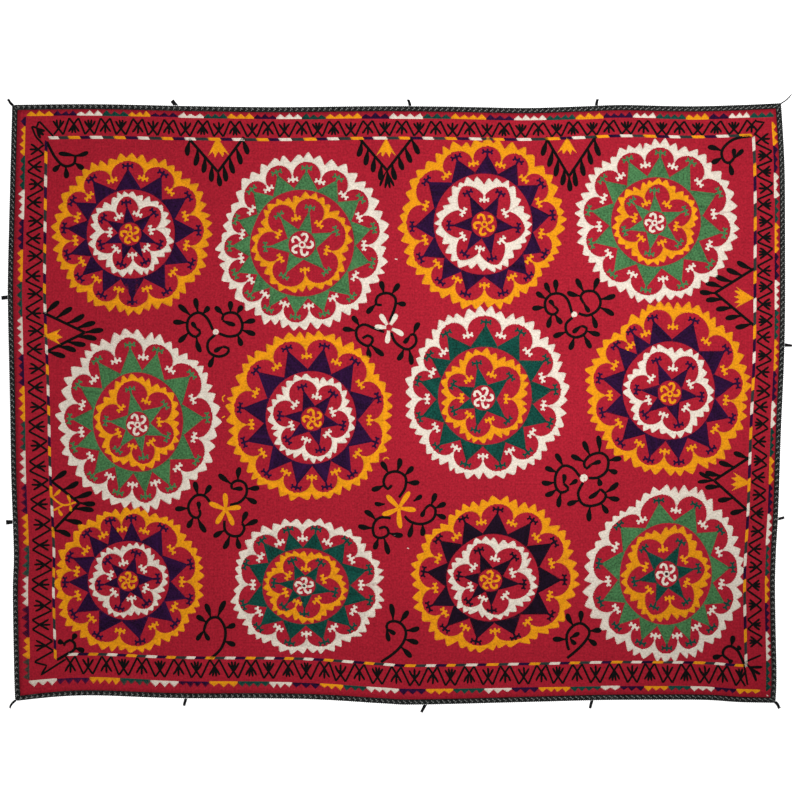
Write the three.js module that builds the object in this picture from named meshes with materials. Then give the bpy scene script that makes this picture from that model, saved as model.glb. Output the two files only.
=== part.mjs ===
// A suzani: a red cotton cloth with an embroidered face, edged with a flat plaited braid.
// It lies face up on a level surface. Short folded tapes stand out from the braid on all four
// sides, and the braid's loose ends stick out at the corners. The needlework itself is thin
// surface stitching, so the solids hold the cloth, the braid, the tapes and the loose ends.
// Millimetres, +X to the right of the design, +Y to its top, +Z up, z = 0 on the surface.

import * as THREE from "three";

// Driving dimensions
const CLOTH_THICKNESS = 2.0; // cotton with its stitching
const BRAID_WIDTH = 16.0;
const BRAID_THICKNESS = 3.4; // at the middle of the plait
const BRAID_EDGE_THICKNESS = 1.8;
const TAPE_THICKNESS = 1.3;
const TAPE_FOLD_GAP = 0.4; // between the two layers of a folded tape
const TAIL_FLATNESS = 0.55; // height of a loose end as a share of its width
const SEAM_GAP = 0.3; // between pieces that are sewn to each other
const GRID_STEP = 50.0; // spacing of the sheet's points
const BRAID_STEPS_ACROSS = 4;

const COLOURS = {
  groundRed: 0xae2438,
  braidCharcoal: 0x34373a,
  tapeBlack: 0x17181a,
};

// Outer edge of the braid. Each row is a place along the side and the edge's place across it.
const CORNERS = {
  bottomLeft: [-1143, -897],
  bottomRight: [1139, -902],
  topLeft: [-1151, 892],
  topRight: [1155, 896],
};
const BOTTOM_EDGE = [
  { x: -1010, y: -884 },
  { x: -888, y: -881 },
  { x: -650, y: -889 },
  { x: -290, y: -890 },
  { x: -48, y: -904 },
  { x: 70, y: -908 },
  { x: 430, y: -899 },
  { x: 670, y: -893 },
  { x: 910, y: -893 },
  { x: 1030, y: -900 },
];
const TOP_EDGE = [
  { x: -900, y: 894 },
  { x: -600, y: 888 },
  { x: -350, y: 885 },
  { x: -50, y: 888 },
  { x: 150, y: 886 },
  { x: 380, y: 882 },
  { x: 560, y: 887 },
  { x: 680, y: 891 },
  { x: 880, y: 887 },
  { x: 1040, y: 891 },
];
const LEFT_EDGE = [
  { x: -1146, y: -810 },
  { x: -1150, y: -570 },
  { x: -1147, y: -450 },
  { x: -1155, y: -210 },
  { x: -1158, y: 30 },
  { x: -1164, y: 270 },
  { x: -1164, y: 390 },
  { x: -1158, y: 630 },
];
const RIGHT_EDGE = [
  { x: 1142, y: -810 },
  { x: 1137, y: -570 },
  { x: 1140, y: -450 },
  { x: 1147, y: -330 },
  { x: 1155, y: -90 },
  { x: 1165, y: 150 },
  { x: 1167, y: 390 },
  { x: 1166, y: 690 },
];

// Low swells where the cloth stands off the surface: the stitching draws the medallions in, so
// the plain ground between them puffs up, and the edge ripples. half and across are the swell's
// half length and half width, turn is the angle of its length from +X in degrees.
const SWELLS = [
  { x: -800, y: 285, half: 150, across: 95, turn: 92, height: 5.0 },
  { x: -545, y: -520, half: 190, across: 110, turn: 84, height: 4.0 },
  { x: 275, y: 15, half: 190, across: 100, turn: 4, height: 3.0 },
  { x: 525, y: 470, half: 170, across: 100, turn: 88, height: 4.5 },
  { x: 545, y: 10, half: 190, across: 110, turn: 80, height: 3.5 },
  { x: 25, y: -500, half: 200, across: 120, turn: 96, height: 4.0 },
  { x: -40, y: 470, half: 170, across: 105, turn: 100, height: 3.5 },
  { x: -880, y: 735, half: 170, across: 95, turn: 35, height: 4.0 },
  { x: 410, y: -735, half: 190, across: 90, turn: -6, height: 4.5 },
  { x: 735, y: 775, half: 180, across: 95, turn: 8, height: 4.0 },
  { x: -300, y: -890, half: 210, across: 120, turn: 0, height: 5.0 },
  { x: 760, y: -895, half: 200, across: 120, turn: 0, height: 5.5 },
  { x: -1150, y: 60, half: 190, across: 110, turn: 90, height: 4.5 },
  { x: 1150, y: 330, half: 200, across: 115, turn: 90, height: 5.0 },
  { x: 1140, y: -560, half: 180, across: 110, turn: 90, height: 4.0 },
  { x: 210, y: 884, half: 200, across: 100, turn: 0, height: 4.0 },
];

// Folded tapes: the side and the place along it that a tape stands out from, how far its tip
// reaches from there, its width at each end, and how far the tip hooks to its left.
const TAPES = [
  { name: "tab_top_1", side: "top", at: -660, reach: [-12, 15], width: 12, tipWidth: 12, hook: 0 },
  { name: "tab_top_2", side: "top", at: 42, reach: [-1, 20], width: 9, tipWidth: 8, hook: 5 },
  { name: "tab_top_3", side: "top", at: 601, reach: [1, 20], width: 9, tipWidth: 8, hook: -3 },
  { name: "tab_left_1", side: "left", at: 314, reach: [-19, -2], width: 12, tipWidth: 12, hook: 0 },
  { name: "tab_left_2", side: "left", at: -360, reach: [-20, -1], width: 11, tipWidth: 14, hook: 0 },
  { name: "tab_right_1", side: "right", at: 171, reach: [23, -2], width: 11, tipWidth: 7, hook: 0 },
  { name: "tab_right_2", side: "right", at: -351, reach: [19, 4], width: 8, tipWidth: 8, hook: 1 },
  { name: "tab_bottom_1", side: "bottom", at: -630, reach: [-6, -22], width: 9, tipWidth: 8, hook: 0 },
  { name: "tab_bottom_2", side: "bottom", at: 88, reach: [-12, -23], width: 10, tipWidth: 8, hook: 0 },
  { name: "tab_bottom_3", side: "bottom", at: 588, reach: [-7, -24], width: 9, tipWidth: 8, hook: 1 },
];
const OUTWARD = { top: [0, 1], bottom: [0, -1], left: [-1, 0], right: [1, 0] };

// Loose ends of the braid, twisted together at each corner: the way they point, how far they
// reach, how wide they are, and how far they sag sideways on the way.
const TAILS = [
  { name: "tail_top_left", corner: "topLeft", reach: [-12, 17], width: 7, bow: 1.5 },
  { name: "tail_top_right", corner: "topRight", reach: [32, 27], width: 3.5, bow: -2.5 },
  { name: "tail_bottom_left", corner: "bottomLeft", reach: [-16, -20], width: 6, bow: -2.0 },
  { name: "tail_bottom_right", corner: "bottomRight", reach: [10, -17], width: 8, bow: 2.0 },
];
const TAIL_SIDES = 6;
const TAIL_STEPS = 6;

// A smooth bump of height 1 at the middle and 0 from the rim outwards.
function bump(share) {
  return Math.abs(share) < 1 ? (1 - share * share) ** 2 : 0;
}

// Height of the cloth's underside above the surface at a point.
function lift(x, y) {
  let height = 0;
  for (const swell of SWELLS) {
    const angle = THREE.MathUtils.degToRad(swell.turn);
    const dx = x - swell.x;
    const dy = y - swell.y;
    const along = dx * Math.cos(angle) + dy * Math.sin(angle);
    const across = dy * Math.cos(angle) - dx * Math.sin(angle);
    height += swell.height * bump(along / swell.half) * bump(across / swell.across);
  }
  return height;
}

// The outline moved inwards by a distance, as one smooth curve for each side.
function outline(inset) {
  const corner = ([x, y]) => new THREE.Vector2(x - Math.sign(x) * inset, y - Math.sign(y) * inset);
  const side = (rows, first, last, dx, dy) =>
    new THREE.SplineCurve([
      corner(first),
      ...rows.map(({ x, y }) => new THREE.Vector2(x + dx * inset, y + dy * inset)),
      corner(last),
    ]);
  const { bottomLeft, bottomRight, topLeft, topRight } = CORNERS;
  return {
    bottom: side(BOTTOM_EDGE, bottomLeft, bottomRight, 0, 1),
    top: side(TOP_EDGE, topLeft, topRight, 0, -1),
    left: side(LEFT_EDGE, bottomLeft, topLeft, 1, 0),
    right: side(RIGHT_EDGE, bottomRight, topRight, -1, 0),
  };
}

// A point of the surface stretched between the four sides, from two shares of their length.
function patchPoint(sides, u, v) {
  const bottom = sides.bottom.getPointAt(u);
  const top = sides.top.getPointAt(u);
  const left = sides.left.getPointAt(v);
  const right = sides.right.getPointAt(v);
  const corners = [
    [sides.bottom.getPointAt(0), (1 - u) * (1 - v)],
    [sides.bottom.getPointAt(1), u * (1 - v)],
    [sides.top.getPointAt(0), (1 - u) * v],
    [sides.top.getPointAt(1), u * v],
  ];
  const point = bottom.multiplyScalar(1 - v).addScaledVector(top, v);
  point.addScaledVector(left, 1 - u).addScaledVector(right, u);
  for (const [corner, share] of corners) point.addScaledVector(corner, -share);
  return point;
}

// A closed sheet between an upper and a lower grid of points. upper and lower take a step along
// and a step across and give a point.
function sheetBetween(upper, lower, along, across) {
  const positions = [];
  const index = [];
  const row = across + 1;
  for (const surface of [upper, lower])
    for (let i = 0; i <= along; i++)
      for (let j = 0; j <= across; j++) positions.push(...surface(i, j).toArray());
  const lowerStart = (along + 1) * row;
  const quad = (a, b, c, d) => index.push(a, b, c, a, c, d);
  for (let i = 0; i < along; i++)
    for (let j = 0; j < across; j++) {
      const a = i * row + j;
      const b = a + row;
      quad(a, b, b + 1, a + 1);
      quad(lowerStart + a, lowerStart + a + 1, lowerStart + b + 1, lowerStart + b);
    }
  const wall = (a, b) => quad(a, lowerStart + a, lowerStart + b, b);
  for (let i = 0; i < along; i++) {
    wall(i * row, (i + 1) * row);
    wall((i + 1) * row + across, i * row + across);
  }
  for (let j = 0; j < across; j++) {
    wall(j + 1, j);
    wall(along * row + j, along * row + j + 1);
  }
  const geometry = new THREE.BufferGeometry();
  geometry.setAttribute("position", new THREE.Float32BufferAttribute(positions, 3));
  geometry.setIndex(index);
  return geometry;
}

// Steps along a side, the same for the cloth and for its braid, so that their edges run level.
function stepsAlong(sideName) {
  return Math.round(outline(0)[sideName].getLength() / GRID_STEP);
}

// The ground cloth: one sheet that follows the outline and its swells.
function groundCloth() {
  const sides = outline(BRAID_WIDTH + SEAM_GAP);
  const along = stepsAlong("bottom");
  const across = stepsAlong("left");
  const surface = (height) => (i, j) => {
    const { x, y } = patchPoint(sides, i / along, j / across);
    return new THREE.Vector3(x, y, lift(x, y) + height);
  };
  return sheetBetween(surface(CLOTH_THICKNESS), surface(0), along, across);
}

// One side's braid, mitred at the corners, thicker along its middle. Its strip goes from its right
// edge to its left edge, seen along the side, so that its upper face points up.
function braid(sideName) {
  const outer = outline(0)[sideName];
  const inner = outline(BRAID_WIDTH)[sideName];
  const clothOnRight = sideName === "top" || sideName === "left";
  const [near, far] = clothOnRight ? [inner, outer] : [outer, inner];
  const along = stepsAlong(sideName);
  const trim = SEAM_GAP / outer.getLength();
  const surface = (raised) => (i, j) => {
    const along01 = trim + (i / along) * (1 - 2 * trim);
    const across01 = j / BRAID_STEPS_ACROSS;
    const { x, y } = near.getPointAt(along01).lerp(far.getPointAt(along01), across01);
    const middle = bump(2 * across01 - 1);
    const thickness = THREE.MathUtils.lerp(BRAID_EDGE_THICKNESS, BRAID_THICKNESS, middle);
    return new THREE.Vector3(x, y, lift(x, y) + (raised ? thickness : 0));
  };
  return sheetBetween(surface(true), surface(false), along, BRAID_STEPS_ACROSS);
}

// The point of a side's outer edge at a place along that side.
function edgePoint(sideName, at) {
  const curve = outline(0)[sideName];
  const place = OUTWARD[sideName][0] === 0 ? "x" : "y";
  let low = 0;
  let high = 1;
  while (high - low > 1e-6) {
    const middle = (low + high) / 2;
    if (curve.getPointAt(middle)[place] < at) low = middle;
    else high = middle;
  }
  return curve.getPointAt(low);
}

// A tape folded back on itself: out along the surface, round the fold at its tip, and back. Its
// root is cut along the braid's edge.
function foldedTape({ side: sideName, at, reach, width, tipWidth, hook }) {
  const root = edgePoint(sideName, at);
  const outward = new THREE.Vector2(...OUTWARD[sideName]);
  const way = new THREE.Vector2(...reach);
  const length = way.length();
  way.normalize();
  const side = new THREE.Vector2(-way.y, way.x);
  const foldRadius = TAPE_THICKNESS + TAPE_FOLD_GAP / 2;
  const straight = length - foldRadius;
  const rootShares = [0, 0.4, 0.75, 1];
  const foldAngles = [-60, -30, 0, 30, 60];
  const rootCut = (offset) => (2 * SEAM_GAP - side.dot(outward) * offset) / way.dot(outward);

  // Stations along the tape, each with the place and height of its outer and inner face. A place
  // is a function of the offset from the tape's middle line.
  const flat = (share, height) => [
    (offset) => THREE.MathUtils.lerp(rootCut(offset), straight, share),
    height,
  ];
  const bent = (radius, angle) => [
    () => straight + radius * Math.cos(angle),
    foldRadius + radius * Math.sin(angle),
  ];
  const upperFace = 2 * foldRadius;
  const stations = [
    ...rootShares.map((share) => [flat(share, 0), flat(share, TAPE_THICKNESS)]),
    ...foldAngles.map((degrees) => {
      const angle = THREE.MathUtils.degToRad(degrees);
      return [bent(foldRadius, angle), bent(TAPE_FOLD_GAP / 2, angle)];
    }),
    ...rootShares
      .toReversed()
      .map((share) => [flat(share, upperFace), flat(share, upperFace - TAPE_THICKNESS)]),
  ];
  const face = (which) => (i, j) => {
    const [placeAt, height] = stations[i][which];
    const edge = j === 0 ? -0.5 : 0.5;
    const share = placeAt(edge * width) / length;
    const offset = edge * THREE.MathUtils.lerp(width, tipWidth, share);
    const place = placeAt(offset);
    const bowed = offset + hook * share * share;
    const x = root.x + way.x * place + side.x * bowed;
    const y = root.y + way.y * place + side.y * bowed;
    return new THREE.Vector3(x, y, lift(root.x, root.y) + height);
  };
  return sheetBetween(face(1), face(0), stations.length - 1, 1);
}

// A twisted loose end that starts just outside a corner of the braid and lies on the surface.
function looseEnd({ corner, reach, width, bow }) {
  const [x, y] = CORNERS[corner];
  const way = new THREE.Vector2(...reach).normalize();
  const start = new THREE.Vector2(x, y).addScaledVector(way, 2 * SEAM_GAP);
  const height = width / 2;
  const point = (share) =>
    new THREE.Vector3(
      start.x + reach[0] * share - way.y * bow * Math.sin(Math.PI * share),
      start.y + reach[1] * share + way.x * bow * Math.sin(Math.PI * share),
      height,
    );
  const path = new THREE.CatmullRomCurve3([0, 0.3, 0.6, 1].map(point));
  const section = new THREE.Shape();
  for (let k = 0; k < TAIL_SIDES; k++) {
    const a = (2 * Math.PI * k) / TAIL_SIDES;
    const step = k === 0 ? "moveTo" : "lineTo";
    section[step]((width / 2) * Math.cos(a), (width / 2) * Math.sin(a));
  }
  const geometry = new THREE.ExtrudeGeometry(section, { steps: TAIL_STEPS, extrudePath: path });
  geometry.computeBoundingBox();
  geometry.translate(0, 0, -geometry.boundingBox.min.z);
  return geometry.scale(1, 1, TAIL_FLATNESS);
}

function cottonFinish(colour) {
  return new THREE.MeshStandardMaterial({ color: colour, roughness: 0.92, metalness: 0 });
}

function piece(name, geometry, finish) {
  const mesh = new THREE.Mesh(geometry, finish);
  mesh.name = name;
  return mesh;
}

const suzani = new THREE.Group();
const groundRed = cottonFinish(COLOURS.groundRed);
const braidCharcoal = cottonFinish(COLOURS.braidCharcoal);
const tapeBlack = cottonFinish(COLOURS.tapeBlack);

suzani.add(piece("ground_cloth", groundCloth(), groundRed));
for (const side of ["top", "bottom", "left", "right"])
  suzani.add(piece(`braid_${side}`, braid(side), braidCharcoal));
for (const tape of TAPES) suzani.add(piece(tape.name, foldedTape(tape), tapeBlack));
for (const tail of TAILS) suzani.add(piece(tail.name, looseEnd(tail), tapeBlack));

export default suzani;
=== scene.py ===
# %% [markdown]
# A suzani, made as its maker made it: a red cotton cloth, then the needlework in rows of thread, then the
# plaited edging with its tapes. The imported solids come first, because they fix the size and place of the
# cloth, its edging and its tapes. Their box is kept, to compare with the finished model at the end.

# %% The frame
from collections import namedtuple

import bpy
import numpy as np
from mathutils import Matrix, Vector


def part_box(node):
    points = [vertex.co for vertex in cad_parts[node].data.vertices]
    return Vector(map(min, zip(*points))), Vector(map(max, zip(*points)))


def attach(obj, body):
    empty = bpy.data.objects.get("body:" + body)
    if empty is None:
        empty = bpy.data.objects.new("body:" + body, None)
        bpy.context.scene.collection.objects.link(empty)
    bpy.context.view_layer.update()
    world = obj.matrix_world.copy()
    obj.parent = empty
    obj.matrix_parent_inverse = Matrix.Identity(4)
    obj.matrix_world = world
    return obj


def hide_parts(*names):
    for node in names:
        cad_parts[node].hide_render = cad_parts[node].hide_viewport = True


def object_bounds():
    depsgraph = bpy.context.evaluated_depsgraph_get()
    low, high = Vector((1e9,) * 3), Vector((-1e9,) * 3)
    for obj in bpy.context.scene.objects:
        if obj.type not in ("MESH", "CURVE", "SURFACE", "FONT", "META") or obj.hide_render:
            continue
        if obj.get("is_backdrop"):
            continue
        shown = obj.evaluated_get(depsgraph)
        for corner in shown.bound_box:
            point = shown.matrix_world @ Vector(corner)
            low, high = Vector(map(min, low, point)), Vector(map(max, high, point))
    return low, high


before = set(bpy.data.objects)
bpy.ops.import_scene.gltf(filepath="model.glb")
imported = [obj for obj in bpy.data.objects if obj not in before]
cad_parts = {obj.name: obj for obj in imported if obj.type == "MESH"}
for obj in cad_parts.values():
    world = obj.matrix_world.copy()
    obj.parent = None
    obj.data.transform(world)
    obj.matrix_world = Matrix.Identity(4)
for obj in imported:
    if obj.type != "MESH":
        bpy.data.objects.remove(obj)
cad_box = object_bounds()
bpy.ops.object.select_all(action="DESELECT")
print("solids loaded:", len(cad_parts))

# %% [markdown]
# The photograph looks straight down on the cloth, so a place on the cloth is a place in the picture. One
# pixel covers 3 mm. The motifs were placed one by one, with a few readings each, and every width and height is
# a real size.

# %% Scale and lines
MM = 0.001
PIXEL = 3.0 * MM
ORIGIN_PIXEL = (396, 402)
chance = np.random.default_rng(11)


def place(pixels):
    """Photo pixels, counted from its top left, as metres on the cloth."""
    return (np.asarray(pixels, float) - ORIGIN_PIXEL) * (PIXEL, -PIXEL)


def smooth_line(points, steps=10):
    """A smooth line through the points, with this many steps between each two."""
    points = np.asarray(points, float)
    padded = np.vstack([points[:1], points, points[-1:]])
    t = np.linspace(0, 1, steps, endpoint=False)[:, None]
    parts = []
    for before, start, end, after in zip(padded, padded[1:], padded[2:], padded[3:]):
        leave = (end - before) / 2
        arrive = (after - start) / 2
        cubic = 2 * start - 2 * end + leave + arrive
        square = 3 * end - 3 * start - 2 * leave - arrive
        parts.append(cubic * t**3 + square * t**2 + leave * t + start)
    return np.vstack([*parts, points[-1:]])


def distances(line):
    """How far along a line each of its points lies."""
    return np.concatenate([[0.0], np.cumsum(np.linalg.norm(np.diff(line, axis=0), axis=1))])


def at_shares(line, shares):
    """Points of a line at shares of its length, from 0 to 1."""
    far = distances(line)
    wanted = np.asarray(shares) * far[-1]
    return np.column_stack([np.interp(wanted, far, line[:, k]) for k in range(line.shape[1])])


def unit(vectors):
    """Vectors made one long."""
    return vectors / (np.linalg.norm(vectors, axis=-1, keepdims=True) + 1e-12)


# %% [markdown]
# The cloth is not a true rectangle: each side bows a little, as hand-sewn cloth does. These rows are the
# outer edge of the braid, in millimetres, the same as in the solids. The box of the cloth's solid checks them.

# %% Edges of the cloth
BRAID_WIDTH = 16.0
SEAM_GAP = 0.3
CORNERS = {
    "bottom_left": (-1143, -897),
    "bottom_right": (1139, -902),
    "top_left": (-1151, 892),
    "top_right": (1155, 896),
}
Side = namedtuple("Side", "start end inward points")
SIDES = {
    "bottom": Side("bottom_left", "bottom_right", (0, 1), [
        (-1010, -884), (-888, -881), (-650, -889), (-290, -890), (-48, -904),
        (70, -908), (430, -899), (670, -893), (910, -893), (1030, -900)]),
    "top": Side("top_left", "top_right", (0, -1), [
        (-900, 894), (-600, 888), (-350, 885), (-50, 888), (150, 886),
        (380, 882), (560, 887), (680, 891), (880, 887), (1040, 891)]),
    "left": Side("bottom_left", "top_left", (1, 0), [
        (-1146, -810), (-1150, -570), (-1147, -450), (-1155, -210),
        (-1158, 30), (-1164, 270), (-1164, 390), (-1158, 630)]),
    "right": Side("bottom_right", "top_right", (-1, 0), [
        (1142, -810), (1137, -570), (1140, -450), (1147, -330),
        (1155, -90), (1165, 150), (1167, 390), (1166, 690)]),
}


def side_line(name, inset):
    """One side of the outline, moved in by inset millimetres, as a fine line in metres."""
    side = SIDES[name]
    corners = [np.array(CORNERS[c]) - np.sign(CORNERS[c]) * inset for c in (side.start, side.end)]
    rows = np.array(side.points) + np.array(side.inward) * inset
    return smooth_line([corners[0], *rows, corners[1]], 12) * MM


low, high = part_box("ground_cloth")
drawn = np.vstack([side_line(name, BRAID_WIDTH + SEAM_GAP) for name in SIDES])
print("edge of the cloth off its solid by mm:",
      np.round((drawn.min(0) - low[:2]) / MM, 1), np.round((drawn.max(0) - high[:2]) / MM, 1))

# %% [markdown]
# Laid cloth is never quite flat. The solids hold its low swells. The scene adds what is too small for them:
# puckers where the stitching draws the cotton in, the soft line of a storage fold, and faint ripples all
# over. All of it is one height for each place, so the needlework can follow the cloth exactly.

# %% Lie of the cloth
CLOTH_THICKNESS = 1.2 * MM
Swell = namedtuple("Swell", "x y half across turn height")
SWELLS = [
    Swell(-800, 285, 150, 95, 92, 5.0), Swell(-545, -520, 190, 110, 84, 4.0),
    Swell(275, 15, 190, 100, 4, 3.0), Swell(525, 470, 170, 100, 88, 4.5),
    Swell(545, 10, 190, 110, 80, 3.5), Swell(25, -500, 200, 120, 96, 4.0),
    Swell(-40, 470, 170, 105, 100, 3.5), Swell(-880, 735, 170, 95, 35, 4.0),
    Swell(410, -735, 190, 90, -6, 4.5), Swell(735, 775, 180, 95, 8, 4.0),
    Swell(-300, -890, 210, 120, 0, 5.0), Swell(760, -895, 200, 120, 0, 5.5),
    Swell(-1150, 60, 190, 110, 90, 4.5), Swell(1150, 330, 200, 115, 90, 5.0),
    Swell(1140, -560, 180, 110, 90, 4.0), Swell(210, 884, 200, 100, 0, 4.0),
]
# A crease runs between two photo pixels. Its width and height are in millimetres.
Crease = namedtuple("Crease", "start end width height")
CREASES = [
    Crease((123, 288), (128, 328), 9, 1.6), Crease((132, 284), (136, 330), 10, 2.0),
    Crease((142, 290), (145, 326), 8, 1.5), Crease((8, 396), (784, 393), 12, 0.7),
    Crease((561, 238), (578, 246), 8, 1.4), Crease((563, 247), (581, 252), 7, 1.1),
    Crease((210, 567), (214, 594), 8, 1.5), Crease((220, 566), (223, 592), 8, 1.2),
    Crease((86, 166), (104, 146), 9, 1.5), Crease((98, 170), (122, 146), 10, 1.3),
    Crease((519, 640), (550, 646), 10, 1.4), Crease((627, 141), (652, 143), 8, 1.2),
    Crease((396, 150), (399, 640), 14, 0.6),
]
Ripple = namedtuple("Ripple", "length turn phase height")
RIPPLES = [Ripple(110, 12, 0.4, 0.14), Ripple(150, 97, 1.9, 0.20), Ripple(205, 61, 3.1, 0.22),
           Ripple(270, 138, 5.0, 0.24), Ripple(85, 84, 2.2, 0.10)]


def bump(share):
    """1 at the middle, 0 from the rim outwards."""
    return np.where(np.abs(share) < 1, (1 - share**2) ** 2, 0.0)


def swell_height(points):
    """Height of the swells under points in metres."""
    x, y = np.asarray(points).T / MM
    height = np.zeros(len(x))
    for swell in SWELLS:
        turn = np.radians(swell.turn)
        along = (x - swell.x) * np.cos(turn) + (y - swell.y) * np.sin(turn)
        across = (y - swell.y) * np.cos(turn) - (x - swell.x) * np.sin(turn)
        height += swell.height * bump(along / swell.half) * bump(across / swell.across)
    return height * MM


def face_height(points):
    """Height of the cloth's face at points in metres."""
    points = np.asarray(points)
    height = swell_height(points) / MM
    for crease in CREASES:
        start, end = place([crease.start, crease.end])
        way = end - start
        share = np.clip((points - start) @ way / (way @ way), 0, 1)
        off = np.linalg.norm(points - start - share[:, None] * way, axis=1) / MM
        height += crease.height * np.exp(-((off / crease.width) ** 2)) * (0.4 + 0.6 * np.sin(np.pi * share))
    for ripple in RIPPLES:
        turn = np.radians(ripple.turn)
        wave = (points @ [np.cos(turn), np.sin(turn)]) / (ripple.length * MM)
        height += ripple.height * (1 + np.sin(2 * np.pi * wave + ripple.phase))
    return height * MM + CLOTH_THICKNESS


print("height of the face at the middle, mm:", round(face_height([[0, 0]])[0] / MM, 2))

# %% [markdown]
# A finish is a small network of shader nodes. Written as Python sums it stays readable: a Shade holds one
# socket, and each operator adds the Math node that does it. Any other node comes from one method. What is
# the same all over a surface is set on the shader itself.

# %% Shader sums


class Shade:
    """A shader socket that Python's operators work on."""

    def __init__(self, tree, socket=None):
        self.tree = tree
        self.socket = socket

    def node(self, kind, settings=None, inputs=None, output=0):
        """Adds a node, sets it, fills or links its inputs, and gives one of its outputs."""
        made = self.tree.nodes.new(kind)
        for key, value in (settings or {}).items():
            setattr(made, key, value)
        for key, value in (inputs or {}).items():
            if isinstance(value, Shade):
                self.tree.links.new(value.socket, made.inputs[key])
            else:
                made.inputs[key].default_value = value
        return Shade(self.tree, made.outputs[output])

    def other(self, output):
        """Another output of the same node."""
        return Shade(self.tree, self.socket.node.outputs[output])

    def feed(self, shader, name):
        """Links this socket to an input of the shader."""
        self.tree.links.new(self.socket, shader.inputs[name])

    def maths(self, operation, first, second=0.0):
        return self.node("ShaderNodeMath", {"operation": operation}, {0: first, 1: second})

    def __add__(self, other):
        return self.maths("ADD", self, other)

    __radd__ = __add__

    def __sub__(self, other):
        return self.maths("SUBTRACT", self, other)

    def __rsub__(self, other):
        return self.maths("SUBTRACT", other, self)

    def __mul__(self, other):
        return self.maths("MULTIPLY", self, other)

    __rmul__ = __mul__

    def __abs__(self):
        return self.maths("ABSOLUTE", self)

    def sine(self):
        return self.maths("SINE", self)


def linear(red, green, blue):
    """A colour read from the photo, 0 to 255, as the linear values that shaders take."""
    shares = np.array([red, green, blue]) / 255
    return tuple(np.where(shares <= 0.04045, shares / 12.92, ((shares + 0.055) / 1.055) ** 2.4))


def new_finish(name, roughness, sheen):
    """A matt textile material: the material, a Shade to add nodes with, and its shader."""
    material = bpy.data.materials.new(name)
    material.use_nodes = True
    shader = material.node_tree.nodes["Principled BSDF"]
    shader.inputs["Roughness"].default_value = roughness
    shader.inputs["Specular IOR Level"].default_value = 0.1
    shader.inputs["Sheen Weight"].default_value = sheen
    shader.inputs["Sheen Roughness"].default_value = 0.5
    return material, Shade(material.node_tree), shader


# %% [markdown]
# The ground is plain-weave cotton, dyed red. Close to, it has a fine over-and-under weave. From a step away
# it shows slubs, which are threads a little thicker or paler than the next, running both ways, and broad
# patches where the dye took unevenly. Stretched noise gives the slubs, slow noise the patches, and finer noise
# the mottle and the grain.

# %% Red cotton
RED = linear(176, 31, 49)
WEAVE_PITCH = 0.9 * MM


def noise(shade, where, stretch, detail=2.0):
    """Noise around 0 whose grain is stretched: stretch is the number of grains in a metre, each way."""
    turned = shade.node("ShaderNodeMapping", None, {"Vector": where, "Scale": (*stretch, 1.0)})
    return shade.node("ShaderNodeTexNoise", None, {"Vector": turned, "Scale": 1.0, "Detail": detail}) - 0.5


def scaled(shade, colour, brightness):
    """A colour made lighter or darker by a value around 1."""
    return shade.node("ShaderNodeVectorMath", {"operation": "SCALE"}, {0: colour, "Scale": brightness})


def red_cotton():
    material, shade, shader = new_finish("red_cotton", 0.9, 0.0)
    where = shade.node("ShaderNodeTexCoord", output=3)
    x = shade.node("ShaderNodeSeparateXYZ", None, {0: where})
    y = x.other(1)
    slubs = noise(shade, where, (6, 420)) + noise(shade, where, (380, 5))
    patches = noise(shade, where, (3, 3.6), 3.0)
    mottle = noise(shade, where, (55, 62))
    grain = noise(shade, where, (175, 160), 3.0)
    brightness = 1.0 + 0.34 * slubs + 0.24 * patches + 0.30 * mottle + 1.25 * grain
    scaled(shade, RED, brightness).feed(shader, "Base Color")
    turn = 2 * np.pi / (2 * WEAVE_PITCH)
    weave = (x * turn).sine() * (y * turn).sine() + 1.5 * slubs
    relief = shade.node("ShaderNodeBump", None, {"Strength": 0.6, "Distance": 0.2 * MM, "Height": weave})
    relief.feed(shader, "Normal")
    return material


red_finish = red_cotton()
print("made:", red_finish.name)

# %% [markdown]
# Every stitched motif is rows of thread laid side by side. A thread is never one flat colour: hand dyeing
# leaves each length a little lighter or darker, and the plies catch the light on a slant. Each row carries
# its own tone as an attribute, and the plies are a slanted wave in the row's own UV map.

# %% Thread and braid finishes
PLY_LENGTH = 4.2 * MM
PLY_SLANT = 1.6


def plies(shade):
    """Relief of the slanting plies, from distance along the row and place across it."""
    rows = shade.node("ShaderNodeUVMap", {"uv_map": "thread"})
    along = shade.node("ShaderNodeSeparateXYZ", None, {0: rows})
    slant = abs(along.other(1) - 0.5) * PLY_SLANT
    return ((along * (1 / PLY_LENGTH) + slant) * (2 * np.pi)).sine()


def tone_of(shade):
    """The tone that each row of a mesh carries."""
    return shade.node("ShaderNodeAttribute", {"attribute_name": "tone"}, output=2)


def thread_finish(name, colour, streak, grain):
    material, shade, shader = new_finish(name, 0.8, 0.0)
    where = shade.node("ShaderNodeTexCoord", output=3)
    mottle = noise(shade, where, (70, 70))
    # Fine stitch grain: partly the thread's own uneven tone, partly painted sheen, the light specks that the
    # plies' sheen gives dark thread.
    stitch_tone_and_sheen = noise(shade, where, (185, 185), 3.0)
    brightness = 1.0 + streak * tone_of(shade) + 0.12 * mottle + grain * stitch_tone_and_sheen
    scaled(shade, colour, brightness).feed(shader, "Base Color")
    relief = shade.node("ShaderNodeBump", None,
                        {"Strength": 0.5, "Distance": 0.25 * MM, "Height": plies(shade)})
    relief.feed(shader, "Normal")
    return material


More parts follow.
